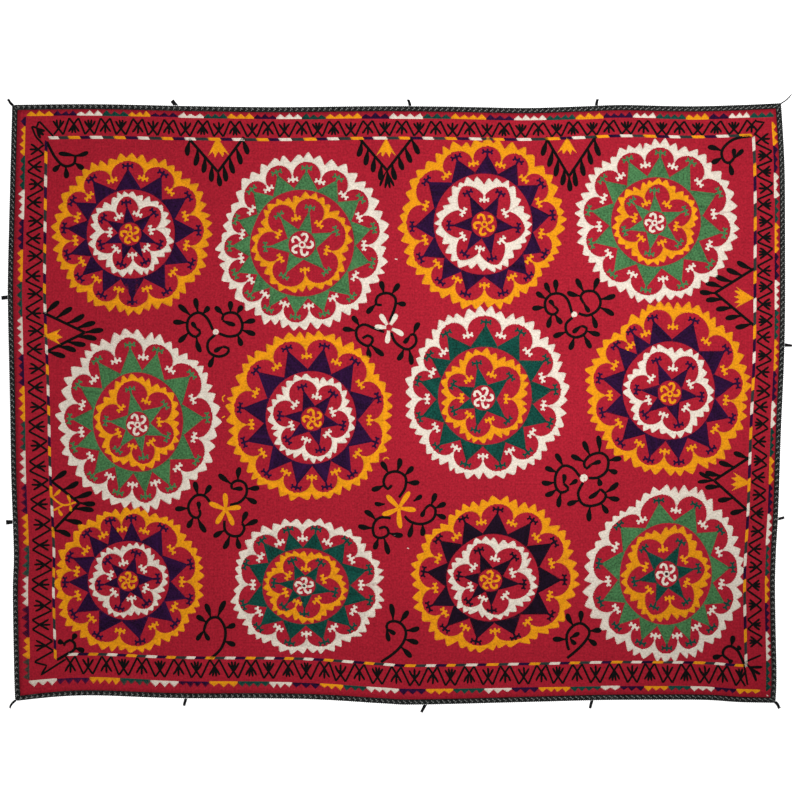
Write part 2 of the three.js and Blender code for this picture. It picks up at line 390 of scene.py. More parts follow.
def braid_finish():
    material, shade, shader = new_finish("plaited_cotton", 0.9, 0.0)
    where = shade.node("ShaderNodeTexCoord", output=3)
    colour = shade.node("ShaderNodeMix", {"data_type": "RGBA"}, {
        0: tone_of(shade), 6: (*linear(22, 24, 24), 1), 7: (*linear(188, 190, 186), 1)}, output=2)
    scaled(shade, colour, 1.0 + 0.8 * noise(shade, where, (200, 200))).feed(shader, "Base Color")
    relief = shade.node("ShaderNodeBump", None,
                        {"Strength": 0.6, "Distance": 0.3 * MM, "Height": plies(shade)})
    relief.feed(shader, "Normal")
    return material


# The grain column is strong on the dark threads, where it is partly painted sheen: light specks that stand in
# for the plies' sheen.
Thread = namedtuple("Thread", "colour streak grain")
THREADS = {
    "gold": Thread(linear(245, 160, 20), 0.05, 1.05),
    "cream": Thread(linear(240, 228, 212), 0.04, 1.0),
    "plum": Thread(linear(42, 12, 53), 0.16, 2.8),
    "dusk": Thread(linear(27, 11, 30), 0.16, 2.8),
    "green": Thread(linear(73, 124, 77), 0.09, 2.3),
    "teal": Thread(linear(14, 72, 62), 0.12, 2.6),
    "black": Thread(linear(14, 13, 13), 0.10, 3.0),
    "grey": Thread(linear(48, 58, 56), 0.10, 1.4),
}
thread_finishes = {name: thread_finish(name + "_thread", *thread) for name, thread in THREADS.items()}
plait_finish = braid_finish()
print("thread finishes:", ", ".join(thread_finishes))

# %% [markdown]
# The cloth itself is a sheet: a grid stretched between the four sides, lifted to the height of its face,
# and given its thickness by a Solidify modifier. A simulation would add nothing here, because the cloth
# lies still on a level surface and its swells are known.

# %% The red cloth
CELL = 14.5 * MM


def new_mesh(name, vertices, faces, finish):
    """A piece made from points and faces, with its finish, at the origin."""
    mesh = bpy.data.meshes.new(name)
    mesh.from_pydata(vertices.tolist(), [], faces)
    mesh.materials.append(finish)
    piece = bpy.data.objects.new(name, mesh)
    bpy.context.scene.collection.objects.link(piece)
    return piece


def grid_faces(rows, columns):
    """Faces of a grid of points that is rows by columns."""
    first = np.arange((rows - 1) * columns).reshape(rows - 1, columns)[:, :-1].ravel()
    return np.column_stack([first, first + columns, first + columns + 1, first + 1]).tolist()


def apply_modifier(piece, kind, **settings):
    """Adds a modifier to a piece, sets it and applies it."""
    modifier = piece.modifiers.new(kind.title(), kind)
    for key, value in settings.items():
        setattr(modifier, key, value)
    bpy.context.view_layer.objects.active = piece
    bpy.ops.object.modifier_apply(modifier=modifier.name)


def patch(inset, columns, rows):
    """Points of the surface stretched between the four sides, columns by rows of them."""
    u = np.linspace(0, 1, columns)
    v = np.linspace(0, 1, rows)
    bottom, top = (at_shares(side_line(name, inset), u)[:, None] for name in ("bottom", "top"))
    left, right = (at_shares(side_line(name, inset), v)[None] for name in ("left", "right"))
    u = u[:, None, None]
    v = v[None, :, None]
    corners = ((1 - u) * ((1 - v) * bottom[:1] + v * top[:1])
               + u * ((1 - v) * bottom[-1:] + v * top[-1:]))
    return (1 - v) * bottom + v * top + (1 - u) * left + u * right - corners


columns, rows = (int(round(size / CELL)) for size in (high - low)[:2])
flat_points = patch(BRAID_WIDTH + SEAM_GAP, columns, rows).reshape(-1, 2)
face_points = np.column_stack([flat_points, face_height(flat_points)])
red_ground = new_mesh("red_ground", face_points, grid_faces(columns, rows), red_finish)
apply_modifier(red_ground, "SOLIDIFY", thickness=CLOTH_THICKNESS, offset=-1.0)
red_ground.data.shade_smooth()
print("cloth:", len(red_ground.data.polygons), "faces")

# %% [markdown]
# Now the needlework. A row of thread is modelled as a low ridge: two flanks that start just under the
# cloth's face and meet in a rounded crest. Rows are gathered by colour and become one mesh at the end,
# because thousands of small objects would be slow and hard to handle.

# %% Rows of thread
ROW_PITCH = 2.8 * MM
ROW_STEP = 9.0 * MM
ROW_OVERLAP = 1.55
ROW_HEIGHT = 0.8 * MM
BURIED = 0.3 * MM
END_RISE = 0.45


class Rows:
    """Rows of thread that will be one mesh."""

    def __init__(self):
        self.middles = []
        self.flanks = []
        self.rises = []
        self.tones = []
        self.lengths = []

    def add(self, line, width, tone=0.0, ends=END_RISE):
        """One row along a line, as wide as width, with its ends brought down."""
        way = unit(np.gradient(line, axis=0))
        half = np.broadcast_to(width, len(line))[:, None] / 2
        rise = np.ones(len(line))
        rise[[0, -1]] = ends
        self.middles.append(line)
        self.flanks.append(np.column_stack([-way[:, 1], way[:, 0]]) * half)
        self.rises.append(rise)
        self.tones.append(np.full(len(line), tone))
        self.lengths.append(distances(line))


def ridge_mesh(name, rows, base, crest, finish):
    """One mesh of closed ridges. base and crest are the heights of their foot and top."""
    middles, flanks, tones, lengths = (np.concatenate(part) for part in (
        rows.middles, rows.flanks, rows.tones, rows.lengths))
    count = np.array([len(line) for line in rows.middles])
    vertices = np.empty((len(middles), 3, 3))
    lines = [(middles + flanks, base), (middles, crest), (middles - flanks, base)]
    for k, (points, height) in enumerate(lines):
        vertices[:, k, :2] = points
        vertices[:, k, 2] = height
    last = np.cumsum(count) - 1
    first = last - count + 1
    inner = np.delete(np.arange(len(middles)), last) * 3
    corners = ([0, 1, 4, 3], [1, 2, 5, 4], [0, 3, 5, 2])
    quads = np.concatenate([inner[:, None] + four for four in corners])
    caps = np.concatenate([first[:, None] * 3 + [0, 2, 1], last[:, None] * 3 + [0, 1, 2]])
    piece = new_mesh(name, vertices.reshape(-1, 3), quads.tolist() + caps.tolist(), finish)
    mesh = piece.data
    mesh.shade_smooth()
    edges = np.empty(len(mesh.edges) * 2, int)
    mesh.edges.foreach_get("vertices", edges)
    foot = (edges.reshape(-1, 2) % 3 != 1).all(axis=1)
    mesh.attributes.new("sharp_edge", "BOOLEAN", "EDGE").data.foreach_set("value", foot)
    tones = np.repeat(tones, 3).astype(np.float32)
    mesh.attributes.new("tone", "FLOAT", "POINT").data.foreach_set("value", tones)
    corner = np.empty(len(mesh.loops), int)
    mesh.loops.foreach_get("vertex_index", corner)
    across = np.tile([0.0, 0.5, 1.0], len(middles))
    sheet = np.column_stack([np.repeat(lengths, 3)[corner], across[corner]])
    mesh.uv_layers.new(name="thread").data.foreach_set("uv", sheet.astype(np.float32).ravel())
    return piece


stitching = {}


def rows_of(group, colour):
    """The gathered rows of one colour in one part of the needlework."""
    return stitching.setdefault((group, colour), Rows())


# %% [markdown]
# Three ways of laying rows make every motif. A line has a few rows beside each other. A leaf has rows that
# part from its stalk and close again at its round end. A filled shape is crossed by rows at an even pitch,
# and each row stops where the shape's outline cuts it, as a stitcher fills a drawn shape.

# %% Lines, leaves and filled shapes
LEAF_WIDTH = 16.2 * MM
STEM_WIDTH = 8.4 * MM
LEAF_EXTRA = 1.5 * MM


def stroke(rows, points, width, tone=0.0):
    """A line of rows laid side by side. width may change along the points."""
    points = np.asarray(points, float)
    far = distances(points)
    steps = max(2, int(np.ceil(far[-1] / ROW_STEP)) + 1)
    shares = np.linspace(0, 1, steps)
    line = at_shares(points, shares)
    width = np.interp(shares, far / far[-1], np.broadcast_to(width, len(points)))
    way = unit(np.gradient(line, axis=0))
    side = np.column_stack([-way[:, 1], way[:, 0]])
    count = max(1, int(round(width.max() / ROW_PITCH)))
    for k in range(count):
        offset = ((k + 0.5) / count - 0.5) * width
        rows.add(line + side * offset[:, None], width / count * ROW_OVERLAP, tone + chance.normal(0, 0.5))


def leaf(rows, root, tip, width=LEAF_WIDTH, stalk=0.34):
    """A teardrop that grows from a thin stalk at its root to a round end at its tip."""
    root = np.asarray(root)
    way = np.asarray(tip) - root
    way = way + unit(way) * LEAF_EXTRA
    side = unit(np.array([-way[1], way[0]]))
    share = np.array([0, 0.18, 0.36, 0.54, 0.72, 0.86, 0.95, 1.0])
    swell = np.clip((share - 0.12) / 0.5, 0, 1)
    spread = stalk + (1 - stalk) * swell * swell * (3 - 2 * swell)
    spread = spread * np.sqrt(np.clip(1 - np.clip((share - 0.72) / 0.28, 0, 1) ** 2, 0.02, 1)) * width
    bend = side * chance.normal(0, 0.03) * np.linalg.norm(way)
    line = root + share[:, None] * way + np.sin(np.pi * share)[:, None] * bend
    count = max(2, int(round(width / ROW_PITCH)))
    for k in range(count):
        offset = ((k + 0.5) / count - 0.5) * spread
        rows.add(line + offset[:, None] * side, spread / count * ROW_OVERLAP, chance.normal(0, 0.5))


def fill(rows, outline, to_cloth, pitch=ROW_PITCH, metres=lambda level: 1.0, steady=0.6):
    """Fills an outline drawn in (along, across) with rows. to_cloth lays such points on the cloth,
    pitch is the spacing across, and metres is the length of one step along at a level."""
    outline = np.asarray(outline, float)
    after = np.roll(outline, -1, axis=0)
    tone = 0.0
    width = ROW_PITCH * ROW_OVERLAP
    for level in np.arange(outline[:, 1].min() + pitch / 2, outline[:, 1].max(), pitch):
        cut = (outline[:, 1] <= level) != (after[:, 1] <= level)
        a, b = outline[cut], after[cut]
        places = np.sort(a[:, 0] + (level - a[:, 1]) / (b[:, 1] - a[:, 1]) * (b[:, 0] - a[:, 0]))
        tone = steady * tone + np.sqrt(1 - steady**2) * chance.normal()
        for first, last in zip(places[::2], places[1::2]):
            length = (last - first) * metres(level)
            if length < 0.4 * ROW_PITCH:
                continue
            steps = max(2, int(np.ceil(length / ROW_STEP)) + 1)
            along = np.linspace(first, last, steps)
            rows.add(to_cloth(np.column_stack([along, np.full(steps, level)])), width, tone)


def fill_straight(rows, outline, way):
    """Fills an outline on the cloth with straight rows that run along way."""
    way = unit(np.asarray(way, float))
    turn = np.array([way, (-way[1], way[0])])
    fill(rows, np.asarray(outline) @ turn.T, lambda points: points @ turn)


# %% [markdown]
# Twelve medallions carry the design. Each is a wheel: an outer ring with a toothed rim and a scalloped inner
# edge, a star whose points reach into the scallops, a second ring and star inside, and a whirl at the heart.
# A wheel is drawn by angle and by share of its radius, so one function draws them all, and the table holds
# what differs: where the wheel lies, how wide it is, where its points stand, how wide its core of inner ring
# and inner star is against the others, how full the arches of that ring are, and where its rim bulges.

# %% Medallion tables
GOLD_WHEEL = {"ring": "gold", "star": "plum", "inner": "cream", "heart": "plum", "whirl": "gold"}
GREEN_WHEEL = {"ring": "cream", "star": "green", "inner": "gold", "heart": "green", "whirl": "cream"}
TEAL_WHEEL = {"ring": "cream", "star": "teal", "inner": "gold", "heart": "teal", "whirl": "cream"}
MIXED_WHEEL = GREEN_WHEEL | {"heart": "teal", "tips": "teal"}
DUSK_WHEEL = GOLD_WHEEL | {"star": "dusk", "heart": "dusk"}
Wheel = namedtuple("Wheel", "whirl middle radii colours points inner turn core arch bulges")
WHEELS = [
    Wheel((130, 234), (131.5, 234), (77, 78), GOLD_WHEEL,
          (3, 33, 62, 93, 126, 151, 175, 198, 220, 244, 271, 302, 334),
          (42, 98, 151, 200, 253, 298, 340), 90, 0.975, 1.5, [(35, 0.03)]),
    Wheel((302, 245), (301.5, 242), (84.5, 86), GREEN_WHEEL,
          (11, 36, 60, 86, 110, 134, 161, 183, 205, 225, 243, 265, 288, 313, 344),
          (20, 77, 129, 185, 241, 312), 57, 1.06, 2.1, [(158, -0.09)]),
    Wheel((484.5, 224.5), (482.2, 224), (81, 83), GOLD_WHEEL,
          (7, 34, 60, 86, 112, 143, 182, 208, 233, 256, 287, 312, 335),
          (61, 117, 182, 237, 284, 354), 100, 1.04, 1.35, [(325, -0.05), (60, 0.02)]),
    Wheel((654.5, 223), (657, 221), (79, 78.5), GREEN_WHEEL,
          (25, 60, 87, 115, 142, 171, 199, 230, 261, 292, 321, 350),
          (21, 92, 139, 196, 259, 318), 90, 0.97, 1.6, [(260, 0.02)]),
    Wheel((137.5, 425), (138.5, 419.5), (79, 86.5), GREEN_WHEEL,
          (2, 38, 73, 97, 127, 152, 179, 201, 228, 253, 276, 298, 328),
          (31, 104, 177, 231, 280, 336), 100, 0.975, 1.8, [(100, 0.03), (62, -0.05), (282, 0.03)]),
    Wheel((313, 419.5), (309.3, 416), (81, 83), GOLD_WHEEL,
          (15, 50, 78, 109, 140, 173, 201, 232, 259, 284, 307, 339),
          (48, 107, 176, 222, 286, 347), 90, 0.955, 1.9, []),
    Wheel((482.5, 398.5), (486.5, 394), (80, 83.5), TEAL_WHEEL,
          (4, 29, 60, 90, 124, 147, 169, 198, 226, 253, 282, 307, 337),
          (36, 103, 160, 204, 255, 316), 60, 1.0, 1.7, [(124, 0.05), (145, -0.05)]),
    Wheel((670, 394), (667.5, 387.7), (80, 85), GOLD_WHEEL,
          (4, 32, 68, 103, 124, 142, 172, 199, 227, 254, 279, 307, 336),
          (49, 113, 177, 222, 287, 351), 60, 0.985, 1.7, [(130, -0.09), (308, 0.05)]),
    Wheel((128, 581), (129.2, 580), (73, 71), GOLD_WHEEL,
          (15, 58, 88, 107, 131, 158, 182, 212, 241, 280, 316, 342),
          (4, 75, 135, 189, 252, 308), 75, 0.95, 1.7, [(220, 0.04)]),
    Wheel((304, 586), (306, 586.4), (76, 66), TEAL_WHEEL,
          (17, 52, 81, 105, 130, 157, 199, 225, 256, 286, 314, 346),
          (60, 113, 173, 229, 269, 347), 75, 0.98, 1.6, [(132, 0.05), (173, -0.08)]),
    Wheel((489.5, 581), (495, 575.6), (81, 77), DUSK_WHEEL,
          (31, 57, 87, 117, 145, 176, 206, 228, 255, 288, 324, 357),
          (46, 113, 175, 226, 270, 350), 75, 0.975, 1.6, [(222, 0.07), (130, -0.07), (285, -0.08)]),
    Wheel((666.5, 574), (665.5, 573.8), (77, 85.5), MIXED_WHEEL,
          (5, 36, 64, 96, 137, 172, 201, 224, 248, 271, 292, 313, 336),
          (9, 63, 134, 192, 248, 309), 100, 1.015, 1.5, [(66, 0.05), (202, 0.07), (125, -0.09)]),
]
BULGE_SPREAD = 22.0
print("medallions:", len(WHEELS))

# %% [markdown]
# Shares of the radius give a wheel its anatomy. The scallops rise steeply from each cusp and round over, so
# they are drawn as flattened arches. The rim's teeth are cut by eye on the real cloth, so each is a little
# wider, taller or more leaning than the next.

# %% Rings, stars and whirls
Ring = namedtuple("Ring", "tooth valley lobe cusp tooth_angle dip")
OUTER_RING = Ring(1.047, 0.977, 0.938, 0.772, 7.8, 0.046)
INNER_RING = Ring(0.578, 0.522, 0.501, 0.328, 11.8, 0.064)
OUTER_ARCH = 2.1
Star = namedtuple("Star", "tip valley base")
OUTER_STAR = Star(0.84, 0.61, 0.585)
INNER_STAR = Star(0.375, 0.168, 0.15)
CORE_EDGE = (0.6, 0.8)
ARCH = np.linspace(-1, 1, 15)
TOOTH_SHAPE = [(-0.14, 0.80), (0.0, 1.0), (0.14, 0.80)]
FINIAL_LINE = 6.4 * MM
# Width in millimetres, and how far out the bar stands as a share of it.
RING_FINIAL = (26, 0.46)
STAR_FINIAL = (28, 0.44)
INNER_RING_FINIAL = (24, 0.60)
INNER_STAR_FINIAL = (26, 0.56)
RING_TUCK = 0.01
STAR_TUCK = 0.02
WHIRL_ARMS = 5
WHIRL_RING = 0.034
WHIRL_RING_LINE = 5.6 * MM
WHIRL_LINE = 7.6 * MM
WHIRL_ARM = [(-14, 0.045), (-9, 0.075), (-3, 0.103), (9, 0.122), (26, 0.118), (38, 0.098)]


def around(wheel, points):
    """Points of a wheel on the cloth, from rows of angle in degrees and share of the radius."""
    angle, share = np.asarray(points, float).T
    inside = np.clip((CORE_EDGE[1] - share) / (CORE_EDGE[1] - CORE_EDGE[0]), 0, 1)
    share = share * (1 + (wheel.core - 1) * inside)
    reach = share.copy()
    for at, amount in wheel.bulges:
        off = (angle - at + 180) % 360 - 180
        reach += share**3 * amount * np.exp(-((off / BULGE_SPREAD) ** 2))
    turn = np.radians(angle)
    spokes = np.column_stack([np.cos(turn), np.sin(turn)]) * reach[:, None] * wheel.radii * PIXEL
    centre = place(wheel.whirl) * (1 - share[:, None]) + place(wheel.middle) * share[:, None]
    return centre + spokes


def between(angles):
    """Angles midway between each star point and the next, the last one past the first by a turn."""
    angles = np.asarray(angles, float)
    following = np.append(angles[1:], angles[0] + 360)
    return (angles + following) / 2


def toothed_rim(start, end, ring):
    """Outer edge of one lobe: teeth of uneven width and lean."""
    count = max(2, int(round((end - start) / ring.tooth_angle)))
    ends = np.linspace(start, end, count + 1)
    ends[1:-1] += chance.normal(0, 0.09, count - 1) * (end - start) / count
    points = []
    height = ring.tooth - ring.valley
    middle = (start + end) / 2

    def lowered(angle, share):
        return angle, share - ring.dip * np.abs((angle - middle) / (end - start) * 2) ** 2

    for a, b in zip(ends, ends[1:]):
        tip = (a + b) / 2 + (b - a) * chance.normal(0, 0.10)
        tall = height * (1 + chance.normal(0, 0.12))
        points.append(lowered(a, ring.valley))
        for off, rise in TOOTH_SHAPE:
            points.append(lowered(tip + off * (b - a), ring.valley + tall * rise))
    return points


def stitch_ring(rows, wheel, tips, ring, arch):
    """A band with a toothed rim and a scalloped inner edge, whose cusps lie between the tips. The larger
    arch is, the fuller are the scallops."""
    cusps = between(tips)
    cusps = np.append(cusps[-1] - 360, cusps)
    rim = []
    scallops = []
    for start, end in zip(cusps, cusps[1:]):
        rim += toothed_rim(start, end, ring)
        lobe = (start + end) / 2 + ARCH * (end - start) / 2
        rise = (1 - np.abs(ARCH) ** arch) ** (1.3 / arch)
        scallops += list(zip(lobe, ring.cusp + (ring.lobe - ring.cusp) * rise))
    rim.append((cusps[-1], rim[0][1]))
    radius = np.mean(wheel.radii) * PIXEL
    fill(rows, rim + scallops[::-1], lambda points: around(wheel, points), ROW_PITCH / radius,
         lambda share: np.radians(1) * share * radius)


def stitch_star(rows, wheel, tips, star):
    """Triangles round a circle, their rows laid along one side of each."""
    valleys = between(tips)
    valleys = np.append(valleys[-1] - 360, valleys)
    for number, tip in enumerate(tips):
        start, end = valleys[number], valleys[number + 1]
        foot = [(angle, star.base) for angle in np.linspace(end, start, 6)]
        triangle = around(wheel, [(start, star.valley), (tip, star.tip), (end, star.valley), *foot])
        along = triangle[1] - triangle[0 if number % 2 else 2]
        fill_straight(rows, triangle, along)


def finial(rows, root, way, width, bar):
    """A tailed cross at the end of a point or cusp: a stem, a bar with bowed ends, and a knob."""
    way = unit(way)
    across = np.array([-way[1], way[0]])

    def at(out, side):
        return root + way * out * width + across * side * width

    stroke(rows, [at(0, 0), at(bar + 0.34, 0)], FINIAL_LINE)
    stroke(rows, [at(bar, -0.45), at(bar, 0.45)], FINIAL_LINE)
    for side in (-0.5, 0.5):
        bow = [at(bar - 0.25, side * 1.08), at(bar, side * 0.80), at(bar + 0.25, side * 1.08)]
        stroke(rows, bow, FINIAL_LINE)


def stitch_finials(rows, wheel, angles, share, outward, width, bar):
    """Finials at a share of the radius, pointing outwards or inwards."""
    for angle in angles:
        root, further = around(wheel, [(angle, share), (angle, share + 0.02)])
        finial(rows, root, (further - root) * outward, width * MM, bar)


def stitch_whirl(rows, wheel):
    """Five hooked arms round a small ring."""
    circle = [(angle, WHIRL_RING) for angle in range(0, 361, 45)]
    stroke(rows, around(wheel, circle), WHIRL_RING_LINE)
    for arm in range(WHIRL_ARMS):
        turn = wheel.turn + arm * 360 / WHIRL_ARMS
        hook = smooth_line([(turn + angle, share) for angle, share in WHIRL_ARM], 3)
        stroke(rows, around(wheel, hook), WHIRL_LINE)


def stitch_wheel(wheel):
    """One medallion, from its rim to its heart."""
    colour = {part: rows_of("wheels", name) for part, name in wheel.colours.items()}
    stitch_ring(colour["ring"], wheel, wheel.points, OUTER_RING, OUTER_ARCH)
    cusp = OUTER_RING.cusp + RING_TUCK
    stitch_finials(colour["ring"], wheel, between(wheel.points), cusp, -1, *RING_FINIAL)
    stitch_star(colour["star"], wheel, wheel.points, OUTER_STAR)
    tips = colour.get("tips", colour["star"])
    stitch_finials(tips, wheel, wheel.points, OUTER_STAR.tip - STAR_TUCK, 1, *STAR_FINIAL)
    stitch_ring(colour["inner"], wheel, wheel.inner, INNER_RING, wheel.arch)
    cusp = INNER_RING.cusp + RING_TUCK
    stitch_finials(colour["inner"], wheel, between(wheel.inner), cusp, -1, *INNER_RING_FINIAL)
    stitch_star(colour["heart"], wheel, wheel.inner, INNER_STAR)
    tip = INNER_STAR.tip - STAR_TUCK
    stitch_finials(colour["heart"], wheel, wheel.inner, tip, 1, *INNER_STAR_FINIAL)
    stitch_whirl(colour["whirl"], wheel)


for wheel in WHEELS:
    stitch_wheel(wheel)
print("rows in the medallions:", sum(len(rows.middles) for rows in stitching.values()))

# %% [markdown]
# Black sprays fill the ground between the medallions. A spray is a few curling stems, each with teardrop
# leaves on its outer side. A leaf's stalk starts where the stem comes nearest to the leaf's tip, so a tip is
# all that the table needs. Flower stars and round knots cover the place where three stems meet. Two black
# knots mark the hearts of two whirls.

# %% Curling sprays
Stem = namedtuple("Stem", "line ends leaves")
STEMS = [
    Stem([(213, 330), (207, 318), (198, 312.5), (188.5, 319), (188, 331), (195.5, 337),
          (200.5, 332), (197, 329)],
         [(192, 322.5)], [(209, 307), (195.5, 298.5), (179, 305), (173.5, 322), (179, 342),
          (200.5, 352)]),
    Stem([(219, 333.5), (229, 336.5), (239, 334), (242.5, 325), (238, 315), (230.5, 312.5), (223.5, 315),
          (222.5, 320.5)],
         [(235, 325)], [(215.5, 307), (230.5, 301.5), (242, 306), (255, 320.5), (255, 334.5),
          (241.5, 345.5)]),
    Stem([(215.5, 334.5), (208, 342), (209, 352), (217.5, 356.5), (226, 354.5), (229, 349), (223, 346.5)],
         [(214.5, 351.5)], [(209.5, 367)]),
    Stem([(389.5, 321.5), (395, 307), (395, 297.5), (387, 293), (378, 296), (376, 304), (382, 305)],
         [], [(381, 281.5), (399, 284), (405.5, 304.5), (367, 313)]),
    Stem([(384.5, 332), (374.5, 328.5), (364, 324.5), (356.5, 329.5), (358, 340), (368, 346),
          (373, 339.5),
          (368, 335.5), (362.5, 338.5)],
         [], [(352.5, 316.5), (343, 329), (369.5, 357.5), (383.5, 355.5)]),
    Stem([(391, 332.5), (396, 343), (407.5, 349.5), (416, 343), (414.5, 334.5), (410, 335.5)],
         [(404, 343)], [(398, 360), (411.5, 364.5), (419, 323)]),
    Stem([(572, 313.5), (568, 300.5), (561, 294), (551, 294.5), (545, 302), (547, 312), (554, 314.5),
          (558, 310), (554, 306.5)],
         [(549.5, 300.5)], [(536.5, 292.5), (545.5, 283), (555.5, 280), (532.5, 308.5),
          (548, 327.5), (561.5, 323.5)]),
    Stem([(578.5, 313.5), (588, 315.5), (597.5, 310), (600.5, 301), (595, 292), (585, 291.5),
          (580.5, 297),
          (584, 303.5)],
         [(589, 312)], [(567.5, 292.5), (576.5, 279), (598, 278.5), (615, 295.5), (613.5, 315),
          (596, 328)]),
    Stem([(572.5, 317.5), (566, 324), (567, 333), (575.5, 337.5), (584.5, 334), (586.5, 328), (581, 326)],
         [(573, 332.5)], [(553.5, 336.5), (570, 349.5), (599.5, 335), (590.5, 348)]),
    Stem([(210, 502), (204, 495.5), (195, 496), (188.5, 505), (190.5, 514.5), (197, 518),
          (200.5, 514), (199, 509.5)],
         [(198.5, 502)], [(195, 482), (210.5, 485.5), (175.5, 509), (188, 527.5), (205.5, 532)]),
    Stem([(230, 505), (240, 502), (246.5, 494), (245.5, 484), (238, 480.5), (231.5, 484), (232.5, 489)],
         [(242.5, 489)], [(219, 474.5), (239.5, 467.5), (259, 488), (256.5, 503)]),
    Stem([(224.5, 520.5), (225, 530), (231, 535.5), (240, 535.5), (244.5, 528), (242, 523.5)],
         [], [(214, 536.5), (224, 548.5), (239.5, 548.5), (257.5, 520.5), (247, 512)]),
    Stem([(399, 497.5), (405, 488), (405.5, 477), (397, 471.5), (387, 474), (383.5, 482.5),
          (387.5, 489), (392, 485)],
         [], [(381.5, 462), (400, 458.5), (413, 467), (419, 482.5), (372, 490)]),
    Stem([(391, 518), (380, 517.5), (373.5, 524.5), (374, 535), (381, 538), (388.5, 534),
          (386, 527), (379, 528.5)],
         [], [(365, 511), (358.5, 526), (374.5, 549), (388.5, 554), (402.5, 535.5)]),
    Stem([(404.5, 516), (411, 522), (422.5, 524), (433, 519), (435.5, 509.5), (430, 505), (425, 509)],
         [(421.5, 516.5)], [(409, 537), (422.5, 535.5), (445.5, 518), (445.5, 503.5), (435.5, 493.5)]),
    Stem([(580, 477), (572.5, 468), (563, 466), (556, 474), (555.5, 486), (561, 492.5),
          (568.5, 489), (563.5, 483.5)],
         [(564, 474.5)], [(556, 454), (545.5, 467.5), (542, 482.5), (545.5, 495.5), (558.5, 507)]),
    Stem([(588.5, 478), (598, 477.5), (606.5, 471), (608, 459), (601, 453), (590, 455.5),
          (584, 463), (586.5, 468.5),
          (591, 464.5)],
         [(600.5, 461.5)], [(571.5, 455.5), (583.5, 441.5), (598, 436), (621, 458.5), (617, 472.5),
          (600, 485.5)]),
    Stem([(583, 482.5), (578, 493), (581.5, 503), (590, 506), (601, 503), (606, 495.5), (600.5, 489)],
         [(589, 498)], [(567.5, 504.5), (589, 521), (607.5, 513), (619, 499.5), (618, 483)]),
    Stem([(47, 142), (55, 157), (64, 166), (74, 164), (75.5, 156)],
         [(88, 152.5), (59, 153.5)], [(53.5, 171), (66.5, 178), (83.5, 169)]),
    Stem([(751, 136), (734.5, 139), (724, 147), (721.5, 155), (725, 162), (730, 162.5), (734, 158)],
         [(734, 149), (743, 150)], [(708, 147), (712, 163), (732, 175)]),
    Stem([(57, 660), (67, 654), (74, 650), (75, 644), (70.5, 640), (65, 643), (64, 646)],
         [], [(76, 634), (84, 651), (58.5, 641)]),
    Stem([(745.5, 667), (741, 657), (737, 650), (730, 646), (724, 649), (723, 655), (728, 659)],
         [(732, 662)], [(733, 636), (713, 657.5), (740, 647)]),
    Stem([(210, 659), (220, 650), (225, 639), (225, 628), (219, 618), (211, 618), (206, 623.5),
          (204, 631)],
         [(197, 640), (209, 640)], [(206, 604), (197, 616), (225, 601), (235, 624.5), (235, 645)]),
    Stem([(381, 662), (394, 653), (403, 643), (406, 632), (401, 623.5), (393, 621), (387, 624),
          (387, 629)],
         [(389, 641), (395, 634)], [(391, 604), (408, 611), (419, 628), (418, 643), (411, 657)]),
    Stem([(567, 658), (580, 647), (588, 637), (589, 630), (582, 623.5), (573.5, 625.5), (567, 634),
          (567, 644),
          (569, 650)],
         [], [(567, 614), (581, 611), (601, 630), (596, 645), (553, 639)]),
]
LooseLeaf = namedtuple("LooseLeaf", "root tip")
LOOSE_LEAVES = [
    LooseLeaf((385, 504), (375, 503.5)), LooseLeaf((413.5, 501), (421.5, 495.5)),
    LooseLeaf((569.5, 485), (577, 480)), LooseLeaf((570, 638), (579, 633)),
    LooseLeaf((570, 638), (575.5, 644)),
]
FlowerStar = namedtuple("FlowerStar", "colour eye middle tips")
FLOWER_STARS = [
    FlowerStar("cream", 0.2, (389, 327.5), [(380.5, 314.5), (396.5, 314.5), (403, 335), (387, 343),
               (375, 327)]),
    FlowerStar("gold", 0.0, (225.5, 509.5), [(225, 493.5), (240.5, 507.5), (233, 525),
               (216.5, 523.5), (209.5, 503)]),
    FlowerStar("gold", 0.0, (399, 508), [(387, 495.5), (409.5, 492), (415.5, 510), (400.5, 528),
               (382.5, 514.5)]),
]
Knot = namedtuple("Knot", "colour middle width")
KNOTS = [
    Knot("cream", (216, 332), 15), Knot("cream", (574.5, 314.5), 15), Knot("cream", (584, 478), 21),
    Knot("black", (304, 586), 9), Knot("black", (666.5, 574), 9),
]
# Ends of thread that were never cut off.
Fleck = namedtuple("Fleck", "colour line")
FLECKS = [
    Fleck("cream", [(766.5, 680), (767.5, 682.5)]), Fleck("cream", [(766.5, 695), (768, 696)]),
    Fleck("cream", [(395, 259), (397.5, 259.5)]), Fleck("cream", [(394, 535), (395.5, 536)]),
    Fleck("cream", [(407, 548), (409, 548.5)]), Fleck("gold", [(383, 460), (386, 457), (389, 459)]),
    Fleck("gold", [(224, 402), (222, 398), (225, 395)]), Fleck("gold", [(222, 418), (225, 416)]),
]
FLECK_WIDTH = 3.2 * MM
PETAL_WIDTH = 15 * MM


def stitch_stem(rows, stem, width=STEM_WIDTH, leaf_width=LEAF_WIDTH):
    """A curling stem with the leaves on it and at its end."""
    line = smooth_line(place(stem.line), 6)
    stroke(rows, line, width)
    for tip in place(stem.leaves) if stem.leaves else []:
        leaf(rows, line[np.linalg.norm(line - tip, axis=1).argmin()], tip, leaf_width)
    for tip in place(stem.ends) if stem.ends else []:
        leaf(rows, line[-1], tip, leaf_width * 0.85, 0.5)


def stitch_knot(rows, middle, width):
    """A round knot: a line coiled on itself."""
    turns = width / 2 / ROW_PITCH
    angle = np.linspace(0, 2 * np.pi * turns, int(8 * turns))
    reach = ROW_PITCH / 2 + ROW_PITCH * angle / (2 * np.pi)
    coil = np.column_stack([np.cos(angle), np.sin(angle)]) * reach[:, None]
    rows.add(middle + coil, ROW_PITCH * ROW_OVERLAP)


